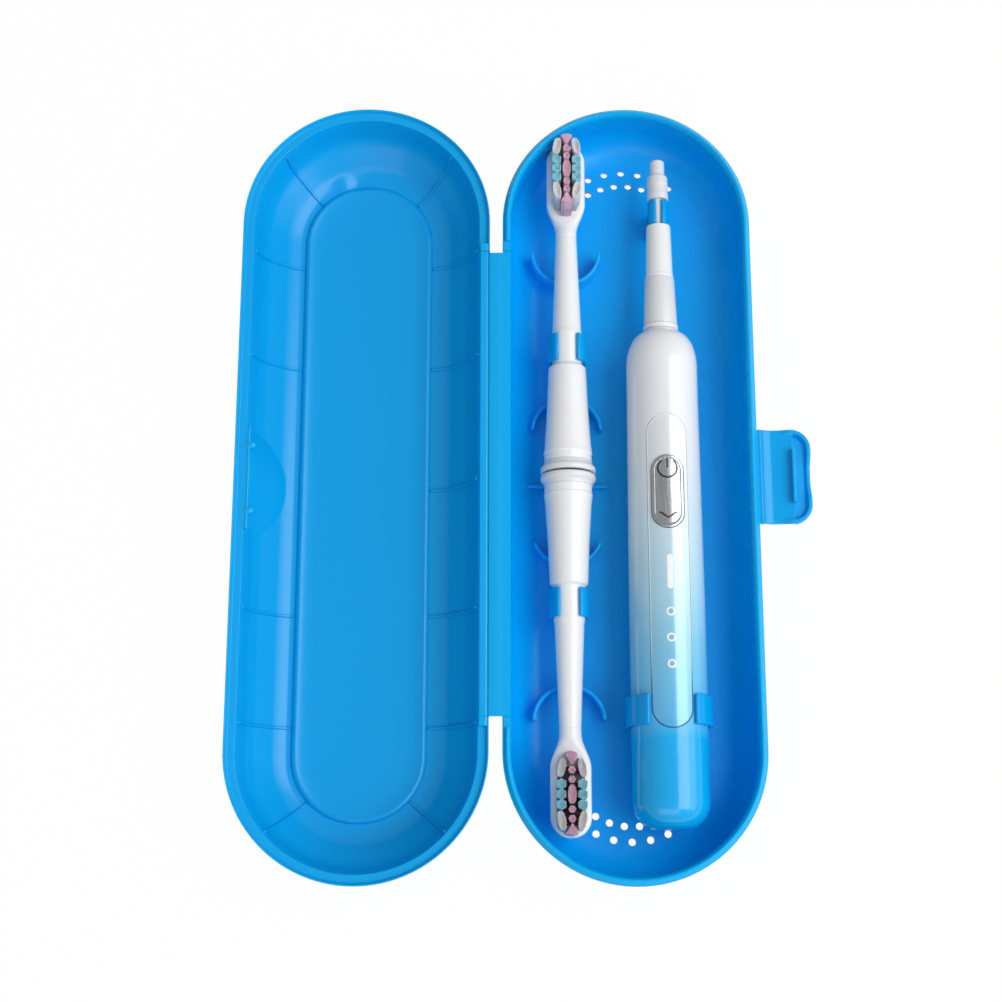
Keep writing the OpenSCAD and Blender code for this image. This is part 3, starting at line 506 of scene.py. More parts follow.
BUTTON_METAL = drawn_metal("brushed_steel", paint(186, 188, 190), paint(226, 227, 228), (1.0, 0.05, 1.0))
MARK_METAL = drawn_metal("dark_marks", paint(70, 74, 78), paint(92, 96, 100), (1.0, 1.0, 1.0), 1500.0, 0.002)
MOTOR_STEEL = drawn_metal("motor_steel", paint(150, 152, 156), paint(196, 198, 200), (1.0, 0.04, 1.0),
                          1500.0)
BATTERY_METAL = drawn_metal("cell_wrap", paint(70, 92, 120), paint(92, 116, 146), (0.2, 1.0, 0.2), 260.0)
COIL_COPPER = drawn_metal("copper_turns", paint(150, 84, 40), paint(214, 134, 82), (0.02, 1.0, 0.02),
                          2600.0, 0.08)


# %% Lenses, board and bristles
def make_board():
    """Green lacquer over copper tracks: a brick pattern read across the board draws the tracks."""
    material, tree, shader = start_material("board_lacquer")
    bricks = tree.nodes.new("ShaderNodeTexBrick")
    feed(tree, bricks.inputs, {"Scale": 420.0, "Mortar Size": 0.06, "Vector": object_place(tree)})
    tracks = bricks.outputs["Fac"]
    feed(tree, shader.inputs, {
        "Base Color": add_mix(tree, tracks, paint(16, 92, 52), paint(74, 140, 74)),
        "Roughness": add_math(tree, "ADD", add_math(tree, "MULTIPLY", tracks, 0.15), 0.3),
        "Normal": bumped(tree, tracks, 0.03),
    })
    return material


def make_nylon(name, low, high):
    """Bristle nylon: a little translucent, paler or deeper from strand to strand."""
    material, tree, shader = start_material(name)
    strands = add_noise(tree, object_place(tree), 2300.0, 1.0)
    feed(tree, shader.inputs, {
        "Base Color": add_mix(tree, strands, low, high),
        "Roughness": add_math(tree, "ADD", add_math(tree, "MULTIPLY", strands, 0.2), 0.25),
        "Subsurface Weight": 0.3, "Subsurface Radius": (0.4 * MM, 0.3 * MM, 0.3 * MM),
    })
    return material


BOARD_GREEN = make_board()
WHITE_LENS = moulded("white_lens", paint(248, 250, 252), gloss=0.3, **LENS)
LENS_CORE = moulded("lens_core", paint(150, 186, 204), gloss=0.25, specular=0.5, cloud=0.05, grain=0.2)
PINK_NYLON = make_nylon("pink_nylon", paint(255, 186, 216), paint(255, 236, 246))
TEAL_NYLON = make_nylon("teal_nylon", paint(140, 228, 250), paint(214, 250, 255))
WHITE_NYLON = make_nylon("white_nylon", paint(246, 247, 248), paint(255, 255, 255))
# Painted shade: the bristle pad's dark grey-mauve stands in for the deep shadow between the tufts.
PAD_PAINTED_SHADE = moulded("pad_painted_shade", paint(112, 100, 112), gloss=0.5, specular=0.3, cloud=0.2, grain=0.8)
print("materials:", len(bpy.data.materials))

# %% Materials of the solids that stay
NODE_FINISHES = {
    "shaft_seal": SEAL_RUBBER, "button_gasket": SEAL_RUBBER, "end_cap_seal": SEAL_RUBBER,
    "circuit_board": BOARD_GREEN, "press_switch": BLACK_PLASTIC, "battery": BATTERY_METAL,
    "motor": MOTOR_STEEL, "chassis": INNER_PLASTIC, "charge_coil": COIL_COPPER,
    "head_upper_socket": INNER_PLASTIC, "head_lower_socket": INNER_PLASTIC,
}
for node_name, material in NODE_FINISHES.items():
    node_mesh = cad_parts[node_name].data
    node_mesh.materials.clear()
    node_mesh.materials.append(material)


# %% [markdown]
# ## The two shells
#
# Each half of the case is one moulding. Its section goes from the middle of the floor up the inside of
# the wall, over the rim and back under the outside. The section is carried round the long outline as a
# grid: one direction counts the columns round the case, the other runs along the section. What differs
# from place to place, such as the lowered rim beside the strap, the ribs and the latch recess, moves
# points of that grid. Columns stand close together where such an edge needs them.

# %% Columns round the outline
RIB_HALF = np.array([-0.46, -0.34, -0.2, 0.2, 0.34, 0.46])
RIB_ANGLE = 41.5
RIB_SPREAD_FROM = 15.0


def outline_columns(extra_y, corner_ribs):
    """Columns round the long outline, in order: centre on the middle line, direction in radians, and an
    offset sideways in millimetres for the columns of a corner rib."""
    y = np.unique(np.round(np.concatenate([np.linspace(-END_AT, END_AT, 51), extra_y]), 4))
    base = np.arange(3.0, 178.0, 3.0)
    side = np.zeros_like(base)
    if corner_ribs:
        for rib in (RIB_ANGLE, 180.0 - RIB_ANGLE):
            keep = np.abs(base - rib) > 2.3
            base = np.concatenate([base[keep], np.full(len(RIB_HALF), rib)])
            side = np.concatenate([side[keep], RIB_HALF])
    order = np.argsort(base + side * 2.0)
    base = base[order]
    side = side[order]
    ends = np.full(len(base), END_AT)
    centre = np.concatenate([y, ends, y[::-1], -ends])
    turn = np.concatenate([np.zeros(len(y)), base, np.full(len(y), 180.0), base + 180.0])
    offset = np.concatenate([np.zeros(len(y)), side, np.zeros(len(y)), side])
    return centre, np.radians(turn), offset


def rib_share(gap):
    """Height of a rib by the distance from its middle: 1 on the crest, 0 past its eased edge."""
    return np.interp(gap, [0.2, 0.34, 0.46], [1.0, 0.75, 0.0])


def carry_round(columns, radius, height):
    """Every section point at its radius along each column's direction, at its height."""
    centre, turn, offset = columns
    angle = turn[:, None] + offset[:, None] / np.maximum(radius, RIB_SPREAD_FROM)
    x = radius * np.cos(angle)
    y = centre[:, None] + radius * np.sin(angle)
    return np.stack([x, y, np.broadcast_to(height, x.shape)], axis=-1)


# %% Section of a shell
PANEL_EDGE = np.linspace(16.8, 18.15, 14)
BOWL_KNEE = (29.9, 9.4)
BOWL_RUN = 2.8 / 9.8


def floor_section(panel):
    """From the middle to the wall's blend. The panel is dished: it climbs as a square towards its edge and
    drops there in a short eased step."""
    if not panel:
        return np.array([[r, WALL_T] for r in (0.0, 5.0, 10.0, 14.0, 16.5, 20.0, 22.0)])
    r = np.concatenate([np.array([0.0, 5.0, 10.0, 11.4]), np.linspace(12.0, 16.6, 9), PANEL_EDGE])
    rise = 0.08 + 0.7 * np.clip((r - 11.4) / 5.4, 0, 1) ** 2.5
    fall = 0.5 * np.clip((r - 16.8) / 1.15, 0, 1) ** 1.7 + 0.4 * ease(r, 17.9, 18.12)
    return np.stack([r, WALL_T + rise - fall], axis=1)


def inner_wall():
    """The inside blend from floor to wall, and the wall up to the ribs' upper ends."""
    wall = np.array([[INNER_R, z] for z in (11.0, 12.5, 14.0, 15.4, 15.62, 15.74, 16.2)])
    return np.concatenate([arc_points(FOOT_R, BLEND_Z, BLEND_R, -90, 0, 30), wall])


def bowl_x(z):
    """Radius of the lid's steep inner wall at a height."""
    return BOWL_KNEE[0] + (z - BOWL_KNEE[1]) * BOWL_RUN


def spread_points(path, step):
    """The same path with points at even steps along it."""
    run = np.concatenate([[0], np.cumsum(np.hypot(*np.diff(path, axis=0).T))])
    at = np.linspace(0, run[-1], int(run[-1] / step) + 1)
    return np.stack([np.interp(at, run, path[:, 0]), np.interp(at, run, path[:, 1])], axis=1)


def bowl_wall():
    """The lid's inside beside the panel: a slight rise, a slope at 45 degrees and a steep wall, with an
    eased corner between each two."""
    line = soft_path([(18.3, 1.28), (22.0, 1.5), BOWL_KNEE, (bowl_x(15.3), 15.3)], [3.0, 2.5], 16)
    upper = [[bowl_x(z), z] for z in (15.4, 15.62, 15.74, 16.2)]
    return np.concatenate([spread_points(line, 0.36), upper])


def lid_outside():
    """The lid's outside: upright under the rim band, then a slope along the inner one, then the flat foot.
    Rows at the catch's upper and lower side are added between the even ones."""
    line = soft_path([(WALL_R, 15.9), (WALL_R, 11.67), (22.58, 0.0), (18.0, 0.0)], [2.0, 3.0], 12)
    rising = spread_points(line, 0.5)
    rising = rising[rising[:, 1] > 0.02]
    level = np.unique(np.concatenate([rising[:, 1], [12.3, 12.2, 11.1, 11.0]]))[::-1]
    radius = np.interp(level, rising[::-1, 1], rising[::-1, 0])
    foot = [[r, 0.0] for r in (19.4, 12.0, 6.0, 0.0)]
    return np.concatenate([np.stack([radius, level], axis=1), foot])


def outer_wall():
    """The outside from the rim band's underside down to the middle of the flat foot."""
    wall = np.array([[WALL_R, z] for z in (15.5, 14.0, 12.3, 12.2, 11.1, 11.0, 10.6)])
    arc = arc_points(FOOT_R, BLEND_Z, BLEND_R + WALL_T, 0, -90, 34)
    foot = np.array([[r, 0.0] for r in (20.0, 12.0, 6.0, 0.0)])
    return np.concatenate([wall, arc, foot])


TRAY_RIM = soft_path(
    [(INNER_R, 17.0), (INNER_R, 18.1), (33.35, 19.15), (33.95, 19.15), (34.6, SHELL_H), (RIM_R, 17.9),
     (RIM_R, RIM_LOW), (WALL_R, RIM_LOW), (WALL_R, 16.0)],
    [0.3, 0.25, 0.25, 0.15, 0.1, 0.25, 0.1],
)
LID_RIM = soft_path(
    [(bowl_x(16.4), 16.4), (bowl_x(REBATE_Z), REBATE_Z), (34.1, REBATE_Z), (34.66, SHELL_H),
     (RIM_R, SHELL_H), (RIM_R, RIM_LOW), (WALL_R, RIM_LOW), (WALL_R, 16.0)],
    [0.15, 0.2, 0.22, 0.25, 0.25, 0.1],
)

# %% [markdown]
# ## The tray
#
# The tray carries a thin sealing lip on its rim. Lip and rim are lower beside the strap, so the strap
# lies flush with both halves. Air holes go through the floor at each end: they are cut with exact
# cylinders, because a hole is the one shape that a grid of columns can't follow.

# %% Tray form
tray_steps = [side * (y + d) for side in (-1, 1) for y in (STRAP_HALF, LIP_GAP_HALF)
              for d in (-NUDGE, NUDGE)]
tray_columns = outline_columns(np.array(tray_steps), False)
tray_section = np.concatenate([floor_section(False), inner_wall(), TRAY_RIM, outer_wall()])
tray_points = carry_round(tray_columns, tray_section[:, 0], tray_section[:, 1])
hinge_side = (np.cos(tray_columns[1]) < -0.99)[:, None]
column_y = np.abs(tray_columns[0])[:, None]
tray_z = tray_points[..., 2].copy()
tray_z = np.where(hinge_side & (column_y < LIP_GAP_HALF), np.minimum(tray_z, SHELL_H), tray_z)
tray_z = np.where(hinge_side & (column_y < STRAP_HALF) & (tray_z > 17.2), tray_z - STRAP_DROP, tray_z)
at_strap = hinge_side & (column_y < STRAP_HALF) & (tray_points[..., 0] < -34.6) & (tray_z > 16.95)
tray_z = np.where(at_strap, SHELL_H - STRAP_DROP, tray_z)
tray_points[..., 2] = tray_z
tray_mesh = weld(fill_mesh("tray_form", *as_arrays(tray_points, close_rows=True, close_cols=False)))

# %% Air holes
VENT_R = 1.0
VENT_STEP = 12.6


def rod_between(x, y, low, high, radius, sides=24):
    """Upright closed rods at many places at once: two rings each, with a point in the middle of each end."""
    a = full_turn(sides)
    reach = np.array([0.0, radius, radius, 0.0])[:, None]
    points = np.zeros((len(x), 4, sides, 3))
    points[..., 0] = x[:, None, None] + reach * np.cos(a)
    points[..., 1] = y[:, None, None] + reach * np.sin(a)
    points[..., 2] = np.array([low, low, high, high])[:, None]
    return points.reshape(-1, 3), repeat_faces(grid_faces(4, sides, close_cols=True), len(x), 4 * sides)


vent_angle = np.radians(np.concatenate([(np.arange(7) - 3.0) * VENT_STEP, (np.arange(6) - 2.5) * VENT_STEP]))
vent_row = np.concatenate([np.full(7, 22.8), np.full(6, 18.7)])
vent_x = vent_row * np.sin(vent_angle)
vent_y = END_AT + vent_row * np.cos(vent_angle)
vent_rods = rod_between(
    np.concatenate([vent_x, -vent_x]), np.concatenate([vent_y, -vent_y]), -1.0, 3.0, VENT_R
)
tray_mesh = cut_away(tray_mesh, vent_rods)
show_piece("tray_form", tray_mesh, TRAY_BLUE, "tray", "tray_blue", ["base_tray"])

# %% [markdown]
# ## The lid
#
# The lid has a rebate for the tray's lip, a raised panel on its floor and thin ribs that run from the
# panel up the wall. On the latch side its wall steps inwards to make a flat recess for the latch, with a
# small catch on it, and a finger scoop is pressed into the corner below. Inside, recess and scoop show
# as a flat stretch of wall and a round bulge. A shallow dent in the far end of the floor catches the
# light: height = -depth u e^(-u squared - v squared), with u and v counted in half widths of the dent.

# %% Lid grid
RIB_RISE = 0.6
RIB_TOP = 15.68
RECESS_HALF = 14.0
CATCH_HALF = 9.3
PANEL_SHIFT = 0.95
rib_columns_y = np.concatenate([y + RIB_HALF for y in (*RIB_AT, 0.0)])
step_places = (STRAP_HALF, REBATE_GAP_HALF, RECESS_HALF, CATCH_HALF)
step_columns_y = [side * (y + d) for side in (-1, 1) for y in step_places for d in (-NUDGE, NUDGE)]
lid_columns = outline_columns(
    np.concatenate([rib_columns_y, step_columns_y, np.linspace(-21, 21, 85)]), True
)
lid_section = np.concatenate([floor_section(True), bowl_wall(), LID_RIM, lid_outside()])
inner_count = len(floor_section(True)) + len(bowl_wall())
lid_inside = np.arange(len(lid_section)) < inner_count + 6
to_latch = np.clip(np.cos(lid_columns[1]), 0, 1)[:, None]
panel_share = ease(lid_section[:, 0], 8.0, 16.0) * (1 - ease(lid_section[:, 0], 18.3, 22.0)) * lid_inside
lid_radius = lid_section[:, 0] + to_latch * PANEL_SHIFT * panel_share
lid_points = carry_round(lid_columns, lid_radius, lid_section[:, 1])
print("lid grid:", lid_points.shape[:2])

# %% Ribs on the inside
centre, turn, offset = lid_columns
on_side = np.abs(np.sin(turn)) < 1e-6
latch_side = on_side & (np.cos(turn) > 0)
side_ribs = np.min(np.abs(centre[:, None] - np.array(RIB_AT)), axis=1)
hinge_rib = np.where(latch_side, 9.0, np.abs(centre))
gap_to_rib = np.where(on_side, np.minimum(side_ribs, hinge_rib), np.where(offset != 0, np.abs(offset), 9.0))
rib_rows = (lid_section[:, 0] > 18.2) & (lid_section[:, 1] < RIB_TOP) & lid_inside
rib_lift = RIB_RISE * rib_share(gap_to_rib)[:, None] * rib_rows[None, :]
lid_normals = path_normals(lid_section)
outward = np.stack([np.cos(turn), np.sin(turn)], axis=1)
lid_points[..., 0] += rib_lift * lid_normals[None, :, 0] * outward[:, None, 0]
lid_points[..., 1] += rib_lift * lid_normals[None, :, 0] * outward[:, None, 1]
lid_points[..., 2] += rib_lift * lid_normals[None, :, 1]

# %% Latch recess, finger scoop and catch
RECESS_X = 33.0
SCOOP_R = 36.5
SCOOP_LEAN = math.radians(28.7)
SCOOP_LEVEL = RECESS_X * math.cos(SCOOP_LEAN) - RIM_LOW * math.sin(SCOOP_LEAN)
x = lid_points[..., 0]
y = lid_points[..., 1]
z = lid_points[..., 2]
across = np.abs(y)
near_latch = latch_side[:, None] & (across < 22)


def scoop_limit(y, z, level, radius):
    """Greatest X in front of a leaning cylinder: its line at the middle, given way as y grows."""
    dip = radius - np.sqrt(np.maximum(radius ** 2 - y ** 2, 0))
    return (level + dip + z * math.sin(SCOOP_LEAN)) / math.cos(SCOOP_LEAN)


inside = lid_inside[None, :] & near_latch & (z < 17.0)
inner_limit = (RECESS_X - WALL_T) + 1.15 * ease(across, RECESS_HALF, 15.9)
inner_limit = np.minimum(inner_limit, scoop_limit(y, z, SCOOP_LEVEL - WALL_T - 0.9, SCOOP_R + WALL_T))
x = np.where(inside, np.minimum(x, inner_limit), x)
outside = ~lid_inside[None, :] & near_latch & (z < RIM_LOW + 0.01)
x = np.where(outside & (across < RECESS_HALF), np.minimum(x, RECESS_X), x)
scooped = np.minimum(x, scoop_limit(y, z, SCOOP_LEVEL, SCOOP_R))
on_catch = (across < CATCH_HALF) & (z > 11.05) & (z < 12.25)
x = np.where(outside, np.where(on_catch, WALL_R, scooped), x)

# %% Rebate and strap zone, then the lid itself
DENT_AT = (-79.6, 93.6)
DENT_HALF = (3.1, 2.2)
DENT_DEPTH = 1.35
lid_hinge = (np.cos(turn) < -0.99)[:, None]
lid_y = np.abs(centre)[:, None]
in_rebate = lid_inside[None, :] | (lid_section[:, 0] < 34.4)[None, :]
in_rebate = in_rebate & (z > 16.6) & (x > -34.4)
full_rim = np.where(np.abs(x) < 33.5, z + (SHELL_H - REBATE_Z), SHELL_H)
full_rim = np.where(lid_hinge & (lid_y < REBATE_GAP_HALF) & in_rebate, np.minimum(full_rim, SHELL_H), z)
x = np.where(np.abs(x) < 33.5, x - (full_rim - z) * BOWL_RUN, x)
z = np.where(lid_hinge & (lid_y < STRAP_HALF) & (full_rim > 17.2), full_rim - STRAP_DROP, full_rim)
z = np.where(lid_hinge & (lid_y < STRAP_HALF) & (x < -34.6) & (z > 16.95), SHELL_H - STRAP_DROP, z)
dent_x = (LID_X - x - DENT_AT[0]) / DENT_HALF[0]
dent_y = (y - DENT_AT[1]) / DENT_HALF[1]
dent = lid_inside[None, :] & (z < 9.0)
z = np.where(dent, z - DENT_DEPTH * dent_x * np.exp(-dent_x ** 2 - dent_y ** 2), z)
lid_grid = np.stack([LID_X - x, y, z], axis=-1)
show_form("lid_form", as_arrays(lid_grid, close_rows=True, close_cols=False), LID_BLUE, "lid", "lid_blue",
          ["lid_shell"])

# %% Rib ends and the catch seen from inside
def small_balls(centres, sizes, turns=16, rings=9):
    """Closed ellipsoids at many places: sizes are half widths along X, Y and Z."""
    a = full_turn(turns)
    b = np.radians(np.linspace(-90, 90, rings))[:, None]
    form = np.stack([np.cos(b) * np.cos(a), np.cos(b) * np.sin(a), np.sin(b) + 0 * a], axis=-1)
    points = np.array(centres)[:, None, None] + form * np.array(sizes)[:, None, None]
    faces = repeat_faces(grid_faces(rings, turns, close_cols=True), len(centres), rings * turns)
    return points.reshape(-1, 3), faces


TIP_R = bowl_x(15.3)
TIP_Z = 15.5
CORNER_ANGLE = math.radians(RIB_ANGLE)
side_tips = [(LID_X + way * TIP_R, y, TIP_Z) for way in (-1, 1) for y in RIB_AT]
corner_tips = [(LID_X + way * TIP_R * math.cos(CORNER_ANGLE),
                end * (END_AT + TIP_R * math.sin(CORNER_ANGLE)), TIP_Z)
               for way in (-1, 1) for end in (-1, 1)]
eyes = [(LID_X - 31.1, y, 16.45) for y in (-CATCH_HALF, CATCH_HALF)]
dots = small_balls(side_tips + corner_tips + eyes, [(0.5, 0.5, 0.45)] * 12 + [(1.8, 1.2, 0.7)] * 2)
edge_angle = full_turn(16)
edge_ring = np.stack([LID_X - 31.3 + 0.42 * np.cos(edge_angle), 16.7 + 0.36 * np.sin(edge_angle)], axis=1)
edge_bead = swept_band(edge_ring, np.linspace(-14.6, 14.6, 31))
show_form("lid_marks", join_parts([dots, edge_bead]), LID_BLUE, "lid", "lid_blue")


# %% [markdown]
# ## Strap and latch
#
# The strap is a flat band, as high as the lowered rims on both sides of it. The latch is a thin springy
# plate: flat at its root, dipped for the finger, with a raised hook across it and a pull tab with a
# raised edge. The plate is a height over a flat outline, so its grid is stretched between the outline's
# two sides.

# %% Strap
STRAP_X = -36.8
STRAP_TOP = SHELL_H - STRAP_DROP
strap_corners = [(STRAP_X, STRAP_TOP), (STRAP_X + 1.83, STRAP_TOP), (STRAP_X + 1.83, 16.65),
                 (STRAP_X - 1.83, 16.65), (STRAP_X - 1.83, STRAP_TOP), (STRAP_X, STRAP_TOP)]
strap_ring = soft_path(strap_corners, [0.05, 0.2, 0.2, 0.05], 4)[:-1]
show_form("strap_band", swept_band(strap_ring, np.linspace(-65.6, 65.6, 33)), STRAP_BLUE, "strap",
          "strap_blue", ["hinge_strap"])

# %% Latch plate
LATCH_X = 35.75
LATCH_Z = 17.4
LATCH_HALF = 13.3
LATCH_END = 13.8
TAB_CORNER = 5.4
TAB_FROM = LATCH_END - TAB_CORNER
HOOK_X = 44.5
HOOK_LOW = LATCH_Z - 0.3
HOOK_HIGH = LATCH_Z + 2.55
ROOT_AT = -0.69
PLATE_T = 0.85
EDGE_TOP = 0.9
TOP_LINE = np.array([
    [-1.5, 0.45], [1.3, 0.45], [2.0, 0.2], [2.6, 0.02], [3.0, 0.0], [4.0, 0.05], [5.0, 0.11], [6.0, 0.19],
    [7.0, 0.29], [8.0, 0.43], [8.9, 0.6], [9.0, -0.7], [14.0, -0.75],
])


def tab_outline(u):
    """Half width of the latch plate at a distance from its pivot, with the tab's round corners."""
    past = np.clip(u - TAB_FROM, 0, TAB_CORNER)
    return LATCH_HALF - TAB_CORNER + np.sqrt(np.maximum(TAB_CORNER ** 2 - past ** 2, 0))


def smooth_line(line, at):
    """Heights along a chain of points, rounded by averaging shifted readings. They reach 0.5 mm each
    way, and 0.15 mm near the step behind the hook bar."""
    reach = 0.5 - 0.35 * ease(at, 7.4, 8.3)
    shifts = np.linspace(-1, 1, 8)
    return sum(np.interp(at + shift * reach, line[:, 0], line[:, 1]) for shift in shifts) / len(shifts)


def latch_sheet():
    """Upper and lower face over the plate's outline. The edge is rounded by drawing the faces together
    near it, and the tab's raised edge stands on the upper face."""
    tab_steps = TAB_CORNER * np.sin(np.radians(np.linspace(3, 90, 48)))
    u_line = np.concatenate([np.linspace(ROOT_AT, TAB_FROM, 56), TAB_FROM + tab_steps])
    v_line = np.sin(np.radians(np.linspace(-90, 90, 121)))
    u, v = np.meshgrid(u_line, v_line, indexing="ij")
    half = tab_outline(u)
    y = v * half
    waist = 0.25 * (1 - ease(np.abs(y), 1.5, 7.0)) * ease(u, 10.5, LATCH_END)
    flat_end = np.clip(LATCH_END - u, 0, None)
    past_u = u - TAB_FROM
    past_y = np.abs(y) - (LATCH_HALF - TAB_CORNER)
    corner = np.hypot(np.maximum(past_u, 0), np.maximum(past_y, 0))
    in_corner = (past_u > 0) & (past_y > 0)
    edge = np.where(in_corner, TAB_CORNER - corner, np.minimum(LATCH_HALF - np.abs(y), flat_end))
    edge = np.clip(edge, 0, None)
    line = smooth_line(TOP_LINE, u)
    raised = np.clip(EDGE_TOP - line, 0, None) * ease(u, 5.2, 8.6) * (1 - ease(edge, 1.0, 1.75))
    raised = raised * (1 - 0.5 * (1 - ease(np.abs(y), 2.0, 6.5)) * ease(u, 10.5, 12.0))
    top = line + raised
    low = line - PLATE_T + 0.25 * (1 - ease(u, ROOT_AT, 0.2))
    round_r = 0.4
    draw = round_r - np.sqrt(np.maximum(round_r ** 2 - np.maximum(round_r - edge, 0) ** 2, 0))
    middle = (top + low) / 2
    top = np.maximum(top - draw, middle)
    low = np.minimum(low + draw, middle)
    x_row = LATCH_X + u - waist
    upper = np.stack([x_row, y, LATCH_Z + top], axis=-1)
    lower = np.stack([x_row, y, LATCH_Z + low], axis=-1)
    return np.concatenate([upper, lower[:, ::-1]], axis=1)


latch_grid = latch_sheet()
first_row = latch_grid[0]
root_cap = np.stack([first_row, np.broadcast_to(first_row.mean(axis=0), first_row.shape)])
bead_angle = full_turn(32)
bead_ring = np.stack([LATCH_X + 0.55 * np.cos(bead_angle), LATCH_Z + 0.55 * np.sin(bead_angle)], axis=1)
hook_corners = [(HOOK_X, HOOK_LOW), (HOOK_X + 0.45, HOOK_LOW), (HOOK_X + 0.45, HOOK_HIGH),
                (HOOK_X - 0.45, HOOK_HIGH), (HOOK_X - 0.45, HOOK_LOW), (HOOK_X, HOOK_LOW)]
hook_ring = soft_path(hook_corners, [0.05, 0.3, 0.3, 0.05], 5)[:-1]
latch_parts = [
    as_arrays(latch_grid),
    as_arrays(root_cap),
    swept_band(bead_ring, np.linspace(-LATCH_HALF, LATCH_HALF, 3)),
    swept_band(hook_ring, np.linspace(-7.5, 7.5, 3)),
]
show_form("latch_plate", join_parts(latch_parts), LATCH_BLUE, "latch", "latch_blue", ["latch"])


# %% [markdown]
# ## Clips and saddles
#
# Four clips and five thin walls hold the contents. A clip is a ring that is open at the top and stands on a
# post. Its outline is one closed line, drawn out along the case, and its edges are rounded by a bevel.
# A saddle is a thin wall on an arc, whose top and ends are rounded.

# %% Clips
def clip_outline(bar_r, thick, mouth, stem, drop, fit=0.15):
    """The open ring and its post as one closed line in X and Z, counted from the bar's axis."""
    inner = bar_r + fit
    outer = inner + thick
    mid = (inner + outer) / 2
    tip = math.degrees(math.acos(mouth / 2 / mid)) - math.degrees(thick / 2 / mid)
    foot = -math.degrees(math.acos(min(0.98, stem / 2 / outer)))
    right = arc_points(0, 0, outer, foot, tip, 30)
    cap_x = mid * math.cos(math.radians(tip))
    cap_z = mid * math.sin(math.radians(tip))
    cap = arc_points(cap_x, cap_z, thick / 2, tip, tip + 180, 8)[1:-1]
    inside = arc_points(0, 0, inner, tip, -180 - tip, 61)
    cap_left = arc_points(-cap_x, cap_z, thick / 2, -tip, 180 - tip, 8)[1:-1]
    left = arc_points(0, 0, outer, 180 - tip, 180 - foot, 30)
    post = np.array([[-stem / 2, -drop], [stem / 2, -drop]])
    return np.concatenate([right, cap, inside, cap_left, left, post])


def clip_mesh(name, x, y, z, bar_r, thick, mouth, stem, length):
    """The outline drawn out along Y, closed by a flat face at each end, with rounded edges."""
    ring = clip_outline(bar_r, thick, mouth, stem, z - WALL_T + 0.05)
    count = len(ring)
    ends = [np.column_stack([ring[:, 0] + x, np.full(count, y + d), ring[:, 1] + z])
            for d in (-length / 2, length / 2)]
    points = np.concatenate(ends)
    near = np.arange(count)
    sides = np.stack([near, (near + 1) % count, (near + 1) % count + count, near + count], axis=1)
    mesh = bpy.data.meshes.new(name)
    mesh.from_pydata((points * MM).tolist(), [], sides.tolist() + [near.tolist(), (near + count).tolist()])
    return round_edges(weld(mesh), 0.36, 50.0)


CLIPS = {
    "handle_clip": (HANDLE_X, -64.2, HANDLE_Z, 10.3, 1.2, 12.0, 14.0, 8.0),
    "shaft_clip": (HANDLE_X, 79.2, HANDLE_Z, 1.8, 1.0, 1.5, 4.4, 7.4),
    "head_clip_upper": (HEAD_X, 38.5, HEAD_Z, 4.3, 1.1, 5.2, 5.0, 8.0),
    "head_clip_lower": (HEAD_X, -34.3, HEAD_Z, 4.3, 1.1, 5.2, 5.0, 8.0),
}
for clip_name, clip_size in CLIPS.items():
    show_piece(clip_name + "_form", clip_mesh(clip_name + "_form", *clip_size), CLIP_BLUE, "tray",
               "clip_blue", [clip_name])


# %% Saddles
def wall_on_path(path, along, top, low, thick):
    """A wall over a path of points: its top edge is rounded, and its thickness runs out in a half circle
    at both ends."""
    half = thick / 2
    round_r = 0.4
    slim = end_round(np.minimum(along, along[-1] - along), half)
    a = np.radians(np.linspace(0, 90, 5))
    out = np.concatenate([[half], half - round_r + round_r * np.cos(a)])
    rise = np.concatenate([[low], top - round_r + round_r * np.sin(a)])
    side = np.concatenate([out, -out[::-1]])
    level = np.concatenate([rise, rise[::-1]])
    flat = path[:, None] + path_normals(path)[:, None] * side[:, None] * slim[:, None, None]
    level = np.broadcast_to(level[:, None], (*flat.shape[:2], 1))
    return as_arrays(np.concatenate([flat, level], axis=-1))


SADDLE_T = 1.1
SADDLE_R = 10.2
SADDLE_LOW = WALL_T - 0.1
ROUND_STEPS = np.array([0.05, 0.12, 0.22, 0.36])


def arc_saddle(bulge_y, way, reach, top):
    """A wall on an arc whose bulge points along way; its arms reach back from the bulge."""
    r = SADDLE_R - SADDLE_T / 2
    spread = math.degrees(math.acos((SADDLE_R - reach) / SADDLE_R))
    edge = np.degrees(ROUND_STEPS / r)
    around = np.unique(np.concatenate([np.linspace(-spread, spread, 61), -spread + edge, spread - edge]))
    a = np.radians(around)
    path = np.stack([HEAD_X + r * np.sin(a), bulge_y - way * SADDLE_R + way * r * np.cos(a)], axis=1)
    return wall_on_path(path, np.radians(around + spread) * r, top, SADDLE_LOW, SADDLE_T)


def body_radius(s):
    """Radius of a head's body by the distance from its ring, between the measured places."""
    return np.interp(s, [3.2, 8.2, 18.9, 30.5, 31.2, 31.5, 40.7, 41.7, 69.0, 76.0],
                     [7.5, 7.0, 6.05, 5.3, 4.95, 4.3, 4.3, 4.05, 3.0, 3.0])


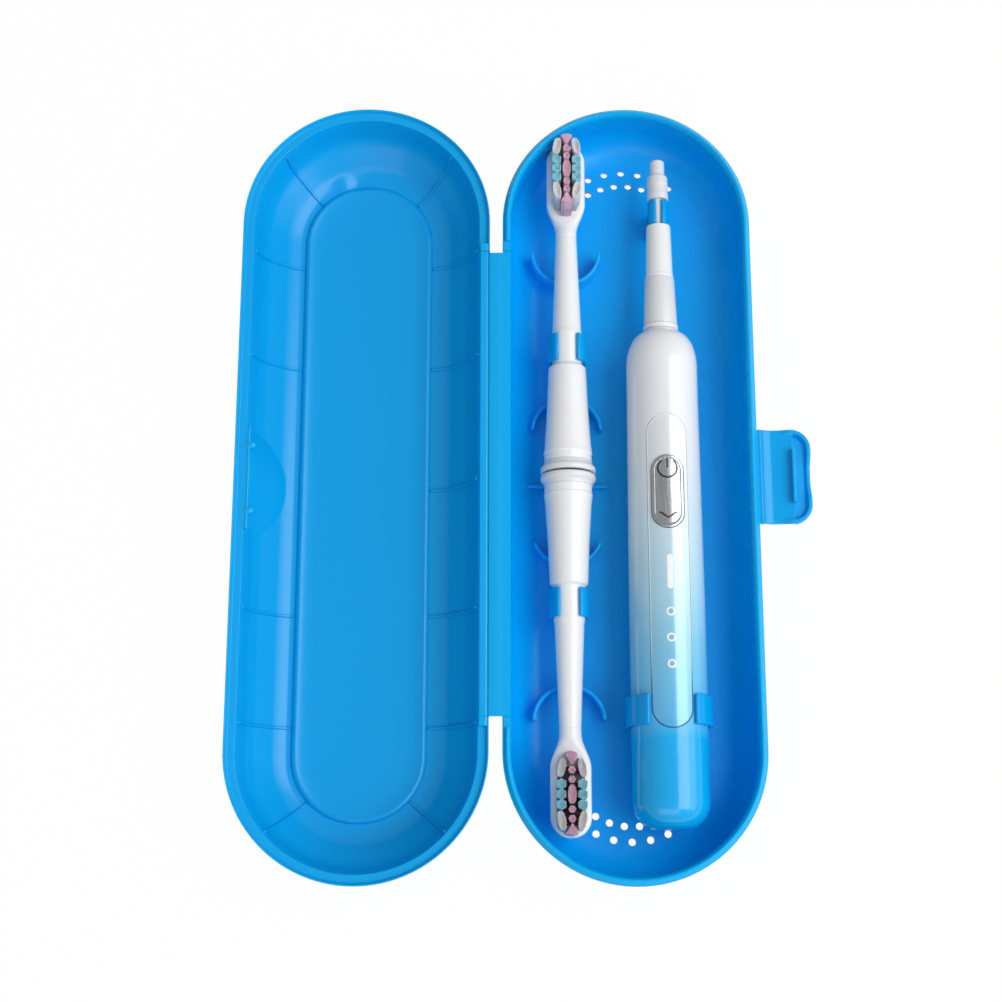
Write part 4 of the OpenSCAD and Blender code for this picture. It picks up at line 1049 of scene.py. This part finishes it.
BAR_LENGTH = 22.8
bar_steps = np.array([0, *ROUND_STEPS, SADDLE_T / 2])
bar_along = np.concatenate([bar_steps, np.linspace(1, BAR_LENGTH - 1, 22), BAR_LENGTH - bar_steps[::-1]])
bar_path = np.stack([HEAD_X - BAR_LENGTH / 2 + bar_along, np.full(len(bar_along), 1.0)], axis=1)
far_top = HEAD_Z - body_radius(57.7) - 0.25
near_top = HEAD_Z - body_radius(24.7) - 0.25
saddle_parts = [
    arc_saddle(59.8, -1, 9.8, far_top),
    arc_saddle(26.8, 1, 9.8, near_top),
    arc_saddle(-22.6, -1, 6.6, near_top),
    arc_saddle(-55.6, 1, 9.8, far_top),
    wall_on_path(bar_path, bar_along, 3.15, SADDLE_LOW, SADDLE_T),
]
show_form("saddle_walls", join_parts(saddle_parts), TRAY_BLUE, "tray", "tray_blue", ["saddles"])


# %% [markdown]
# ## The brush handle
#
# Housing, neck, sleeve and shaft are all turned forms: each is a half outline spun round the handle's
# axis. The control panel, the button and the lights are flat pads wrapped over the housing, so each pad
# is worked out as nested outlines whose height follows the housing's round back.

# %% Turned forms
def turned(axis_x, axis_y, axis_z, way, profile, sides=96, closed=False):
    """A half outline of (radius, distance) spun round an axis that runs along Y; way is 1 or -1."""
    a = full_turn(sides)
    x = axis_x + profile[:, :1] * np.sin(a)
    z = axis_z + profile[:, :1] * np.cos(a)
    y = np.broadcast_to(axis_y + way * profile[:, 1:], x.shape)
    return as_arrays(np.stack([x, y, z], axis=-1), close_rows=closed)


def handle_turned(profile, sides=96, closed=False):
    """A form turned about the handle's axis, from its foot upwards."""
    return turned(HANDLE_X, HANDLE_Y, HANDLE_Z, 1, profile, sides, closed)


def handle_radius(s):
    """Radius of the housing by the height above its foot: straight, a slight taper, then the shoulder,
    which is a quarter of an ellipse."""
    q = np.clip((s - 127.75) / 9.75, 0, 1)
    straight = np.interp(s, [60.0, 118.0], [10.3, 9.9])
    shoulder = 4.75 + 5.15 * np.sqrt(np.maximum(1 - q ** 2, 0))
    return np.where(s > 127.75, shoulder, straight)


# %% Housing
q_steps = np.sin(np.radians(np.linspace(0, 90, 44)))
body_s = np.concatenate([np.linspace(7, 127.5, 60), 127.75 + 9.75 * q_steps])
body_outer = np.concatenate([
    arc_points(3.3, 7, 7, -58.5, 0, 20)[:-1],
    np.stack([handle_radius(body_s), body_s], axis=1),
])
body_inner = np.array([[4.0, 137.5], [4.0, 133.5], [7.0, 128.0], [8.3, 122.0], [8.6, 118.0], [9.0, 60.0],
                       [9.0, 7.4], [8.6, 6.2], [6.98, 6.2], [6.98, 1.1]])
body_profile = np.concatenate([body_outer, body_inner])
body_mesh = weld(fill_mesh("handle_body", *handle_turned(body_profile, 144, closed=True)))


# %% Pads over the housing
def slot_ring(half_w, low, high, inset, samples=40, turns=24):
    """The outline of a slot with round ends, moved inwards, in X and distance; all insets share their
    number of points."""
    w = np.maximum(half_w - inset, 0)
    s_line = np.linspace(low + half_w, high - half_w, samples)
    up = np.radians(np.linspace(0, 180, turns))[1:-1]
    x = np.concatenate([np.full(samples, 1.0), np.cos(up), np.full(samples, -1.0), -np.cos(up)]) * w
    s = np.concatenate([s_line, high - half_w + w * np.sin(up), s_line[::-1], low + half_w - w * np.sin(up)])
    return x, s


def on_handle(x, s, rise):
    """Points across and along the housing, at a height above its round back."""
    level = np.sqrt((handle_radius(s) + rise) ** 2 - x ** 2)
    return np.stack([HANDLE_X + x, HANDLE_Y + s, HANDLE_Z + level], axis=-1)


def wrapped_pad(half_w, low, high, profile, closed=False):
    """Nested slot outlines on the housing's back. The profile lists inset and height above the housing,
    from the middle of the upper face over the edge to the middle of the lower face."""
    rows = [on_handle(*slot_ring(half_w, low, high, inset), rise) for inset, rise in profile]
    return as_arrays(np.array(rows), close_rows=closed)


def wrapped_bead(half_w, low, high, thick, rise):
    """A thin bead along a slot outline: a small closed ring of insets and heights."""
    ring = [(thick * (1 + math.cos(t)), rise * math.sin(t)) for t in full_turn(8)]
    return wrapped_pad(half_w, low, high, ring, closed=True)


def flat_slot(half_w, low, high, profile, samples=40, turns=24):
    """Nested slot outlines that lie flat, each at its inset and level."""
    rows = []
    for inset, level in profile:
        x, s = slot_ring(half_w, low, high, inset, samples, turns)
        rows.append(np.stack([x, s, np.full(len(x), level)], axis=1))
    return np.array(rows)


def block_profile(half_w, low, high):
    """Insets and levels of a slot-shaped block, from the middle of its floor to the middle of its top."""
    return [(half_w, low), (0.0, low), (0.0, high), (half_w, high)]


def pad_profile(half_w, edge, top, low, dish=0.0, rim=0.0):
    """Insets and heights of a pad: level or dished middle, a raised rim if asked, a round edge, a floor."""
    inner = np.linspace(half_w, rim + edge + 0.25, 7)
    rows = [(inset, top - dish) for inset in inner]
    if rim > 0:
        rows += [(rim + edge, top - dish), (rim * 0.8 + edge, top - dish * 0.4), (rim * 0.5 + edge, top)]
    a = np.radians(np.linspace(90, 0, 6))
    rows += [(edge - edge * math.cos(t), top - edge + edge * math.sin(t)) for t in a]
    rows += [(0.0, low)] + [(inset, low) for inset in np.linspace(0, half_w, 5)[1:]]
    return rows


PANEL_HALF = 5.4
PANEL_LOW = 25.6
PANEL_HIGH = 111.4
POCKET_FIT = 0.08
BUTTON_HALF = 4.35
BUTTON_LOW = 79.25
BUTTON_HIGH = 99.55
BUTTON_FIT = 0.15
pocket_half = PANEL_HALF + POCKET_FIT
pocket = wrapped_pad(pocket_half, PANEL_LOW - POCKET_FIT, PANEL_HIGH + POCKET_FIT,
                     block_profile(pocket_half, -0.95, 2.5))
hole_half = BUTTON_HALF + BUTTON_FIT
hole_grid = flat_slot(hole_half, BUTTON_LOW - BUTTON_FIT, BUTTON_HIGH + BUTTON_FIT,
                      block_profile(hole_half, 6.0, 13.0))
button_hole = as_arrays(hole_grid + [HANDLE_X, HANDLE_Y, HANDLE_Z])
body_mesh = cut_away(cut_away(body_mesh, pocket), button_hole)
show_piece("handle_body", body_mesh, HANDLE_FADE, "handle", "handle_gradient", ["handle_shell"])

# %% Panel, its border line, light bar and mode lights
MODE_LIGHTS = (42.5, 49.5, 56.5)
panel_pad = wrapped_pad(PANEL_HALF, PANEL_LOW, PANEL_HIGH, pad_profile(PANEL_HALF, 0.12, 0.06, -0.85))
panel_mesh = cut_away(weld(fill_mesh("panel_inlay", *panel_pad)), button_hole)
show_piece("panel_inlay", panel_mesh, PANEL_FADE, "handle", "panel_gradient", ["control_panel"])
show_form("panel_border", wrapped_bead(PANEL_HALF, PANEL_LOW, PANEL_HIGH, 0.16, 0.11), BORDER_PAINTED_SHADE,
          "handle", "white_lens")
show_form("light_bar_lens", wrapped_pad(0.8, 62.55, 72.05, pad_profile(0.8, 0.1, 0.12, -0.8)), WHITE_LENS,
          "handle", "white_lens", ["light_bar"])
ring_parts = [wrapped_bead(1.25, at - 1.2501, at + 1.2501, 0.3, 0.14) for at in MODE_LIGHTS]
show_form("mode_light_rings", join_parts(ring_parts), WHITE_LENS, "handle", "white_lens", ["mode_lights"])
core_parts = [wrapped_pad(0.72, at - 0.7201, at + 0.7201, pad_profile(0.72, 0.08, 0.08, -0.5))
              for at in MODE_LIGHTS]
show_form("mode_light_cores", join_parts(core_parts), LENS_CORE, "handle", "white_lens")

# %% Power button with its marks
button_profile = pad_profile(BUTTON_HALF, 0.2, 0.55, -0.06, dish=0.16, rim=0.75)
button_pad = wrapped_pad(BUTTON_HALF, BUTTON_LOW, BUTTON_HIGH, button_profile)
show_form("button_plate", button_pad, BUTTON_METAL, "button", "button_metal", ["power_button"])


def mark_tube(path, thick, rise=0.37, sides=8):
    """A thin round bead along a path of (x, distance) points that lies on the button's face."""
    a = full_turn(sides)
    along = np.concatenate([[0], np.cumsum(np.hypot(*np.diff(path, axis=0).T))])
    slim = thick * end_round(np.minimum(along, along[-1] - along), thick)[:, None]
    flat = path[:, None] + path_normals(path)[:, None] * (slim * np.cos(a))[..., None]
    points = on_handle(flat[..., 0], flat[..., 1], rise)
    points[..., 2] += slim * np.sin(a) * 0.7
    return as_arrays(points)


POWER_AT = 95.8
VEE_AT = 83.0
ring_path = arc_points(0, POWER_AT, 2.6, 125, 415, 60)
stem_path = np.stack([np.zeros(20), np.linspace(POWER_AT + 3.0, POWER_AT, 20)], axis=1)
vee_x = np.linspace(-2.5, 2.5, 41)
vee_s = VEE_AT - 1.0 + 1.9 * (np.abs(vee_x) / 2.5) ** 1.15 - 0.5 * ease(np.abs(vee_x), 1.9, 2.5)
vee_path = np.stack([vee_x, vee_s], axis=1)
marks = [mark_tube(ring_path, 0.27), mark_tube(stem_path, 0.27), mark_tube(vee_path, 0.24)]
show_form("button_marks", join_parts(marks), MARK_METAL, "button", "button_metal")

# %% Foot cap, neck, ring, sleeve and shaft
cap_profile = np.concatenate([
    [[0.0, 0.0], [1.5, 0.0]],
    arc_points(3.3, 7, 7, -90, -59.2, 12),
    [[6.93, 1.2], [6.9, 3.0], [6.1, 3.0], [6.1, 6.1], [0.0, 6.1]],
])
neck_profile = np.concatenate([
    [[3.9, 133.9], [3.95, 137.52]],
    soft_path([(4.3, 137.5), (4.72, 137.5), (4.72, 138.4), (4.45, 138.4), (4.45, 140.0), (4.72, 140.0),
               (4.15, 154.0), (2.95, 154.0), (2.95, 150.0)], [0.08, 0.1, 0.02, 0.02, 0.1, 0.25, 0.05], 4),
    [[1.6, 149.8], [1.6, 133.9]],
])
ring_profile = soft_path(
    [(4.5, 138.5), (4.9, 138.5), (4.9, 139.9), (4.5, 139.9), (4.5, 138.5)], [0.25, 0.25, 0.02], 6
)[:-1]
sleeve_profile = soft_path(
    [(2.85, 150.1), (2.85, 154.0), (3.95, 154.03), (3.95, 154.9), (3.8, 155.2), (3.45, 170.2), (2.7, 170.2),
     (2.7, 168.5), (2.1, 168.4), (2.1, 150.1)],
    [0.02, 0.2, 0.1, 0.1, 0.45, 0.05, 0.05, 0.02], 5,
)
shaft_profile = np.concatenate([
    [[0.0, 129.5], [1.5, 129.5], [1.5, 155.0], [1.8, 155.0]],
    soft_path([(1.8, 156.0), (1.8, 178.2), (3.0, 178.2), (3.0, 180.2), (2.86, 180.5), (2.86, 182.6),
               (2.98, 182.9), (2.9, 185.2), (2.45, 185.7), (2.1, 185.7), (2.1, 190.4), (0.0, 190.4)],
              [0.1, 0.25, 0.1, 0.1, 0.1, 0.1, 0.25, 0.15, 0.1, 0.7], 6),
])
show_form("foot_cap", handle_turned(cap_profile), HANDLE_BLUE, "handle", "handle_blue", ["end_cap"])
show_form("neck_form", handle_turned(neck_profile, 72, closed=True), NECK_PLASTIC, "handle",
          "white_plastic", ["handle_neck"])
show_form("neck_band", handle_turned(ring_profile, 72, closed=True), WHITE_PLASTIC, "handle",
          "ring_plastic", ["neck_ring"])
show_form("sleeve_form", handle_turned(sleeve_profile, 72, closed=True), WHITE_PLASTIC, "handle",
          "white_plastic", ["nose_sleeve"])
show_form("shaft_form", handle_turned(shaft_profile, 60), NECK_PLASTIC, "shaft", "white_plastic",
          ["drive_shaft"])


# %% [markdown]
# ## The brush heads
#
# A head starts as a round sleeve, narrows to a neck and widens to a flat plate that carries the
# bristles. Such a form is a loft: at each place along it the section has a width, an upper and a lower
# side and a squareness, and the grid joins all sections. The lower head is the upper one turned by half
# a turn, so both come from the same arrays.

# %% Head sections
PLATE_HALF = 5.5
PLATE_TOP = 1.6
PLATE_LOW = -2.6
PLATE_TURN = 93.45
END_SOFT = 0.8


def head_sections():
    """Half width, upper side, lower side and squareness of the head's section along its length."""
    bead = np.array([5.15, 5.3, 5.42, 5.54, 5.65, 5.8, 5.95, 6.1])
    s = np.unique(np.round(np.concatenate([
        np.linspace(3.2, 8.0, 10), bead, np.linspace(9, 30.5, 20), np.linspace(30.5, 31.9, 10),
        np.linspace(33, 40, 6), np.linspace(40.3, 42.2, 8), np.linspace(44, 69, 14),
        [69.6, 69.75, 69.9, 70.05, 70.2], np.linspace(71, PLATE_TURN, 46),
        PLATE_TURN + PLATE_HALF * np.sin(np.radians(np.linspace(0, 90, 30)))]), 4))
    r = np.interp(s, [3.2, 5.3, 5.65, 6.1, 8.0, 13.3, 19.4, 30.2, 30.7, 31.4, 31.6, 40.6, 40.9, 41.9,
                      69.0, 76.0],
                  [6.62, 6.6, 6.8, 6.7, 6.46, 6.1, 5.72, 5.3, 5.2, 4.45, 4.3, 4.3, 4.25, 4.05, 3.0, 3.0])
    r = r - 0.1 * np.exp(-((s - 69.9) / 0.14) ** 2)
    flare = ease(s, 71.5, 80.5)
    width = r + (PLATE_HALF - r) * flare
    top = r + (PLATE_TOP - r) * ease(s, 70.0, 78.5)
    low = r + (-PLATE_LOW - r) * ease(s, 72.0, 79.0)
    past = np.clip(s - PLATE_TURN, 0, PLATE_HALF)
    width = np.where(s > PLATE_TURN, np.sqrt(np.maximum(PLATE_HALF ** 2 - past ** 2, 0)), width)
    squareness = 2.0 + 3.5 * ease(s, 73.0, 80.0)
    return s, width, top, low, squareness


def head_loft():
    """Points of all sections: round below, squarer on the plate, with a flat upper face there."""
    s, width, top, low, squareness = head_sections()
    a = full_turn(72)
    power = (2 / squareness)[:, None]
    x = width[:, None] * np.sign(np.cos(a)) * np.abs(np.cos(a)) ** power
    rise = np.sign(np.sin(a)) * np.abs(np.sin(a)) ** power
    z = rise * np.where(rise > 0, top[:, None], low[:, None])
    to_end = PLATE_TURN + PLATE_HALF - s
    centre = (PLATE_TOP + PLATE_LOW) / 2
    rounded = centre + (z - centre) * end_round(to_end, END_SOFT)[:, None]
    z = np.where((to_end < END_SOFT)[:, None], rounded, z)
    return np.stack([x, np.broadcast_to(s[:, None], x.shape), z], axis=-1)


def start_cap(grid):
    """Rings that close the head's open end: a wall inwards to the space of the socket."""
    steps = ((0.0, 14.0), (0.56, 14.0), (0.56, 0.45), (0.86, 0.45), (0.86, grid[0, 0, 1]))
    return np.stack([grid[0] * [share, 0, share] + [0, at, 0] for share, at in steps])


def place_head(points, way):
    """Local head points, with length along Y, put on the case: the lower head is turned by half a turn."""
    x = HEAD_X + way * points[..., 0]
    y = HEADS_MEET_Y + way * (HEAD_GAP + points[..., 1])
    return np.stack([x, y, HEAD_Z + points[..., 2]], axis=-1)


# %% Bristle pad outline
PAD_HALF = 3.7
PAD_MID = 88.0
PAD_REACH = 7.9


def pad_slot(inset, profile):
    """Nested slot outlines about the pad's middle, smaller than the pad by the inset."""
    low = PAD_MID - PAD_REACH + inset
    return flat_slot(PAD_HALF - inset, low, PAD_MID + PAD_REACH - inset, profile, 24, 20)


HEAD_SIDES = (("upper", 1.0), ("lower", -1.0))
PAD_FIT = 0.03
PAD_INNER = PAD_HALF - PAD_FIT
pad_cut = pad_slot(0.0, block_profile(PAD_HALF, 0.7, 4.0))
# The pad under the tufts is a dark sheet: painted shade for the shadow between the tufts.
pad_body = pad_slot(PAD_FIT, [
    (PAD_INNER, 1.5), (0.4, 1.5), (0.1, 1.45), (0, 1.35), (0, 0.75), (PAD_INNER, 0.75),
])
loft = head_loft()
loft = np.concatenate([start_cap(loft), loft])

for side, way in HEAD_SIDES:
    name = f"head_{side}_form"
    mesh = weld(fill_mesh(name, *as_arrays(place_head(loft, way))))
    mesh = cut_away(mesh, as_arrays(place_head(pad_cut, way)))
    show_piece(name, mesh, WHITE_PLASTIC, f"{side}_head", "white_plastic", [f"head_{side}_body"])
    show_form(f"bristle_pad_{side}", as_arrays(place_head(pad_body, way)), PAD_PAINTED_SHADE, f"{side}_head",
              "bristle_nylon")

# %% Rings at the heads' open ends
head_ring = soft_path(
    [(6.4, 0.0), (7.62, 0.0), (7.74, 1.4), (6.95, 2.15), (6.66, 3.15), (6.4, 3.15), (6.4, 0.0)],
    [0.45, 0.5, 0.4, 0.1, 0.05], 8,
)[:-1]
for side, way in HEAD_SIDES:
    ring = turned(HEAD_X, HEADS_MEET_Y + way * HEAD_GAP, HEAD_Z, way, head_ring, 96, closed=True)
    show_form(f"head_ring_{side}", ring, RING_PLASTIC, f"{side}_head", "ring_plastic", [f"head_{side}_ring"])

# %% [markdown]
# ## Bristles
#
# Each tuft is a bundle of thin nylon strands that starts in one hole and fans out a little. A strand is
# a slim four-sided rod with a pointed tip, so that hundreds of them stay light. The tufts come in three
# colours: pink down the middle, blue-green round ones beside them, and long white ones at the corners.

# %% Strands
BRISTLE_LEN = 8.15
STRAND_R = 0.13
STRAND_STEP = 0.29
CUP_DEPTH = 0.9


def tuft_strands(side_x, along_s, half_w, half_l, shape, tilt=0.0, draw=0.0):
    """Feet and tips of one tuft: a staggered grid of points kept inside an outline. A round one is an
    ellipse, a long one a slot, and a fan widens away from the pad's middle. The strands inside a tuft
    end lower than those at its edge: depth = CUP_DEPTH (1 - edge squared)."""
    i, j = np.meshgrid(np.arange(-16, 17), np.arange(-20, 21), indexing="ij")
    fx = ((i + 0.5 * (j % 2)) * STRAND_STEP).ravel()
    fy = (j * STRAND_STEP * 0.87).ravel()
    way = np.sign(along_s) if along_s else 1.0
    if shape == "fan":
        share = np.clip((fy * way + half_l) / (2 * half_l), 0, 1)
        keep = (np.abs(fx) <= half_w * (0.08 + 0.92 * share)) & (np.abs(fy) <= half_l)
        keep = keep & (fx ** 2 / 3.0 ** 2 + (share / 1.02) ** 2 <= 1.0)
        cup = np.zeros(len(fx))
    else:
        power = {"round": 2.0, "long": 3.2, "leaf": 2.4}[shape]
        edge = np.abs(fx / half_w) ** power + np.abs(fy / half_l) ** power
        keep = edge <= 1
        cup = CUP_DEPTH * (1 - edge)
    fx = fx[keep]
    fy = fy[keep]
    turn_x = side_x + fx + tilt * fy
    foot = np.stack([turn_x, along_s + fy + draw * way, np.full(len(fx), 1.2)], axis=1)
    tip = np.stack([turn_x, along_s + fy, PLATE_TOP + BRISTLE_LEN - cup[keep]], axis=1)
    return foot, tip


def strand_arrays(foot, tip):
    """All strands at once: a ring at the foot, a ring just under the tip and the tip itself."""
    a = np.radians([45, 135, 225, 315])
    ring = np.stack([np.cos(a), np.sin(a), np.zeros(4)], axis=1) * STRAND_R
    neck = foot + (tip - foot) * 0.975
    low = foot[:, None, :] + ring
    high = neck[:, None, :] + ring
    top = tip[:, None, :] + ring * 0.35
    points = np.concatenate([low, high, top], axis=1)
    one = np.concatenate([grid_faces(3, 4, close_cols=True), [[3, 2, 1, 0], [8, 9, 10, 11]]])
    return points.reshape(-1, 3), repeat_faces(one, len(foot), 12)


PINK_TUFTS = [
    (0, -9.0, 1.85, 1.35, "fan", 0.0, 1.6),
    (0, 9.0, 1.85, 1.35, "fan", 0.0, 0.0),
    (0, 0, 1.05, 2.5, "long"),
    *[(0, way * at, 0.95, 0.95, "round") for way in (-1, 1) for at in (3.85, 6.3)],
]
TEAL_TUFTS = [(side * 2.82, at, 1.3, 1.28, "round") for side in (-1, 1) for at in (-2.65, 0.0, 2.65)]
WHITE_TUFTS = [(side * 2.75, way * 6.75, 1.05, 2.45, "leaf", -0.16 * side * way, draw)
               for side in (-1, 1) for way, draw in ((-1, 1.0), (1, 0.0))]
TUFT_COLOURS = (("pink", PINK_TUFTS, PINK_NYLON), ("teal", TEAL_TUFTS, TEAL_NYLON),
                ("white", WHITE_TUFTS, WHITE_NYLON))
for side, way in HEAD_SIDES:
    for colour, tufts, material in TUFT_COLOURS:
        feet, tips = (np.concatenate(ends) for ends in zip(*[tuft_strands(*tuft) for tuft in tufts]))
        points, faces = strand_arrays(feet + [0, PAD_MID, 0], tips + [0, PAD_MID, 0])
        name = f"bristles_{side}_{colour}"
        mesh = weld(fill_mesh(name, place_head(points, way), faces), sharp=180.0)
        show_piece(name, mesh, material, f"{side}_head", "bristle_nylon", [f"head_{side}_bristles"])
        print("strands:", len(feet))

# %% [markdown]
# ## Floor, light and camera
#
# The case lies on a plain white floor. A wide soft light stands to the right and above, as its long
# highlights on the handle show, and two weaker ones fill in from the side and from the front. The floor
# sends plain white to the camera and still takes a faint shadow. The camera looks down steeply from a
# little in front, which shows the near walls foreshortened and the far ones open.

# %% Floor
FLOOR_HALF = 2500.0
FLOOR_Z = -0.02
floor_corners = ((-1, -1), (1, -1), (1, 1), (-1, 1))
floor_points = np.array([[x * FLOOR_HALF, y * FLOOR_HALF, FLOOR_Z] for x, y in floor_corners])
floor_mesh = fill_mesh("floor", floor_points, np.array([[0, 1, 2, 3]]))
floor = put("floor", floor_mesh)


def make_floor_white():
    """White for the rays that look at it, mixed with a plain white surface that takes the shadow."""
    material, tree, shader = start_material("floor_white")
    feed(tree, shader.inputs, {
        "Base Color": (0.9, 0.9, 0.9, 1.0), "Roughness": 0.9, "Specular IOR Level": 0.0,
    })
    glow = tree.nodes.new("ShaderNodeEmission")
    feed(tree, glow.inputs, {"Strength": 1.0})
    path = tree.nodes.new("ShaderNodeLightPath").outputs
    looked = add_math(tree, "MAXIMUM", path["Is Camera Ray"], path["Is Glossy Ray"])
    looked = add_math(tree, "MAXIMUM", looked, path["Is Transmission Ray"])
    mix = tree.nodes.new("ShaderNodeMixShader")
    share = add_math(tree, "MULTIPLY", looked, 0.98)
    feed(tree, mix.inputs, {0: share, 1: shader.outputs[0], 2: glow.outputs[0]})
    feed(tree, tree.nodes["Material Output"].inputs, {"Surface": mix.outputs[0]})
    return material


floor_mesh.materials.append(make_floor_white())

# %% World and lamps
SKY_LEVEL = 0.36
world = bpy.data.worlds.new("studio")
bpy.context.scene.world = world
world.use_nodes = True
sky = world.node_tree
ray = sky.nodes.new("ShaderNodeLightPath").outputs
seen = add_math(sky, "MULTIPLY", ray["Is Camera Ray"], 1.0 - SKY_LEVEL)
feed(sky, sky.nodes["Background"].inputs, {
    "Strength": add_math(sky, "ADD", seen, SKY_LEVEL), "Color": (1.0, 1.0, 1.0, 1.0),
})


def stand(item, side, up, back, at):
    """Turns a lamp or a camera by its right, upper and back direction, and puts it at its place."""
    matrix = np.eye(4)
    matrix[:3] = np.stack([side, up, back, at], axis=1)
    item.matrix_world = matrix.T.tolist()


def soft_box(name, direction, distance, width, height, level):
    """A rectangular lamp that looks at the case from a direction; level is its brightness as seen."""
    aim = np.array([-30.0, 0.0, 10.0]) * MM
    way = np.array(direction, float)
    way /= np.linalg.norm(way)
    lamp = bpy.data.lights.new(name, "AREA")
    lamp.shape = "RECTANGLE"
    lamp.size = width
    lamp.size_y = height
    lamp.energy = level * math.pi * width * height
    side = np.cross([0.0, 1.0, 0.0], way)
    side /= np.linalg.norm(side)
    stand(put(name, lamp), side, np.cross(way, side), way, aim + way * distance)


def lean(degrees_to_x, forward):
    """A direction that leans from the vertical towards +X, and forward along Y."""
    return (math.sin(math.radians(degrees_to_x)), forward, math.cos(math.radians(degrees_to_x)))


soft_box("key_box", lean(34.5, -0.12), 1.2, 0.7, 1.3, 3.25)
soft_box("side_fill", lean(61.0, -0.1), 1.2, 0.5, 1.2, 1.5)
soft_box("front_fill", (-0.15, -0.75, 0.62), 1.2, 1.2, 0.55, 1.0)

# %% Camera
CAMERA_AT = (-35.57, -123.46, 475.75)
CAMERA_DOWN = math.radians(75.733)
CAMERA_YAW = math.radians(0.0774)
CAMERA_ROLL = math.radians(0.132)
ahead = np.array([math.sin(CAMERA_YAW), math.cos(CAMERA_YAW), 0.0])
forward = ahead * math.cos(CAMERA_DOWN) - np.array([0.0, 0.0, math.sin(CAMERA_DOWN)])
right = np.array([math.cos(CAMERA_YAW), -math.sin(CAMERA_YAW), 0.0])
up = np.cross(right, forward)
turned_right = right * math.cos(CAMERA_ROLL) + up * math.sin(CAMERA_ROLL)
turned_up = up * math.cos(CAMERA_ROLL) - right * math.sin(CAMERA_ROLL)
lens = bpy.data.cameras.new("camera")
lens.lens = 62.27
lens.sensor_width = 36.0
lens.clip_start = 0.01
camera = put("camera", lens)
stand(camera, turned_right, turned_up, -forward, np.array(CAMERA_AT) * MM)
bpy.context.scene.camera = camera
bpy.context.scene.view_settings.view_transform = "Standard"
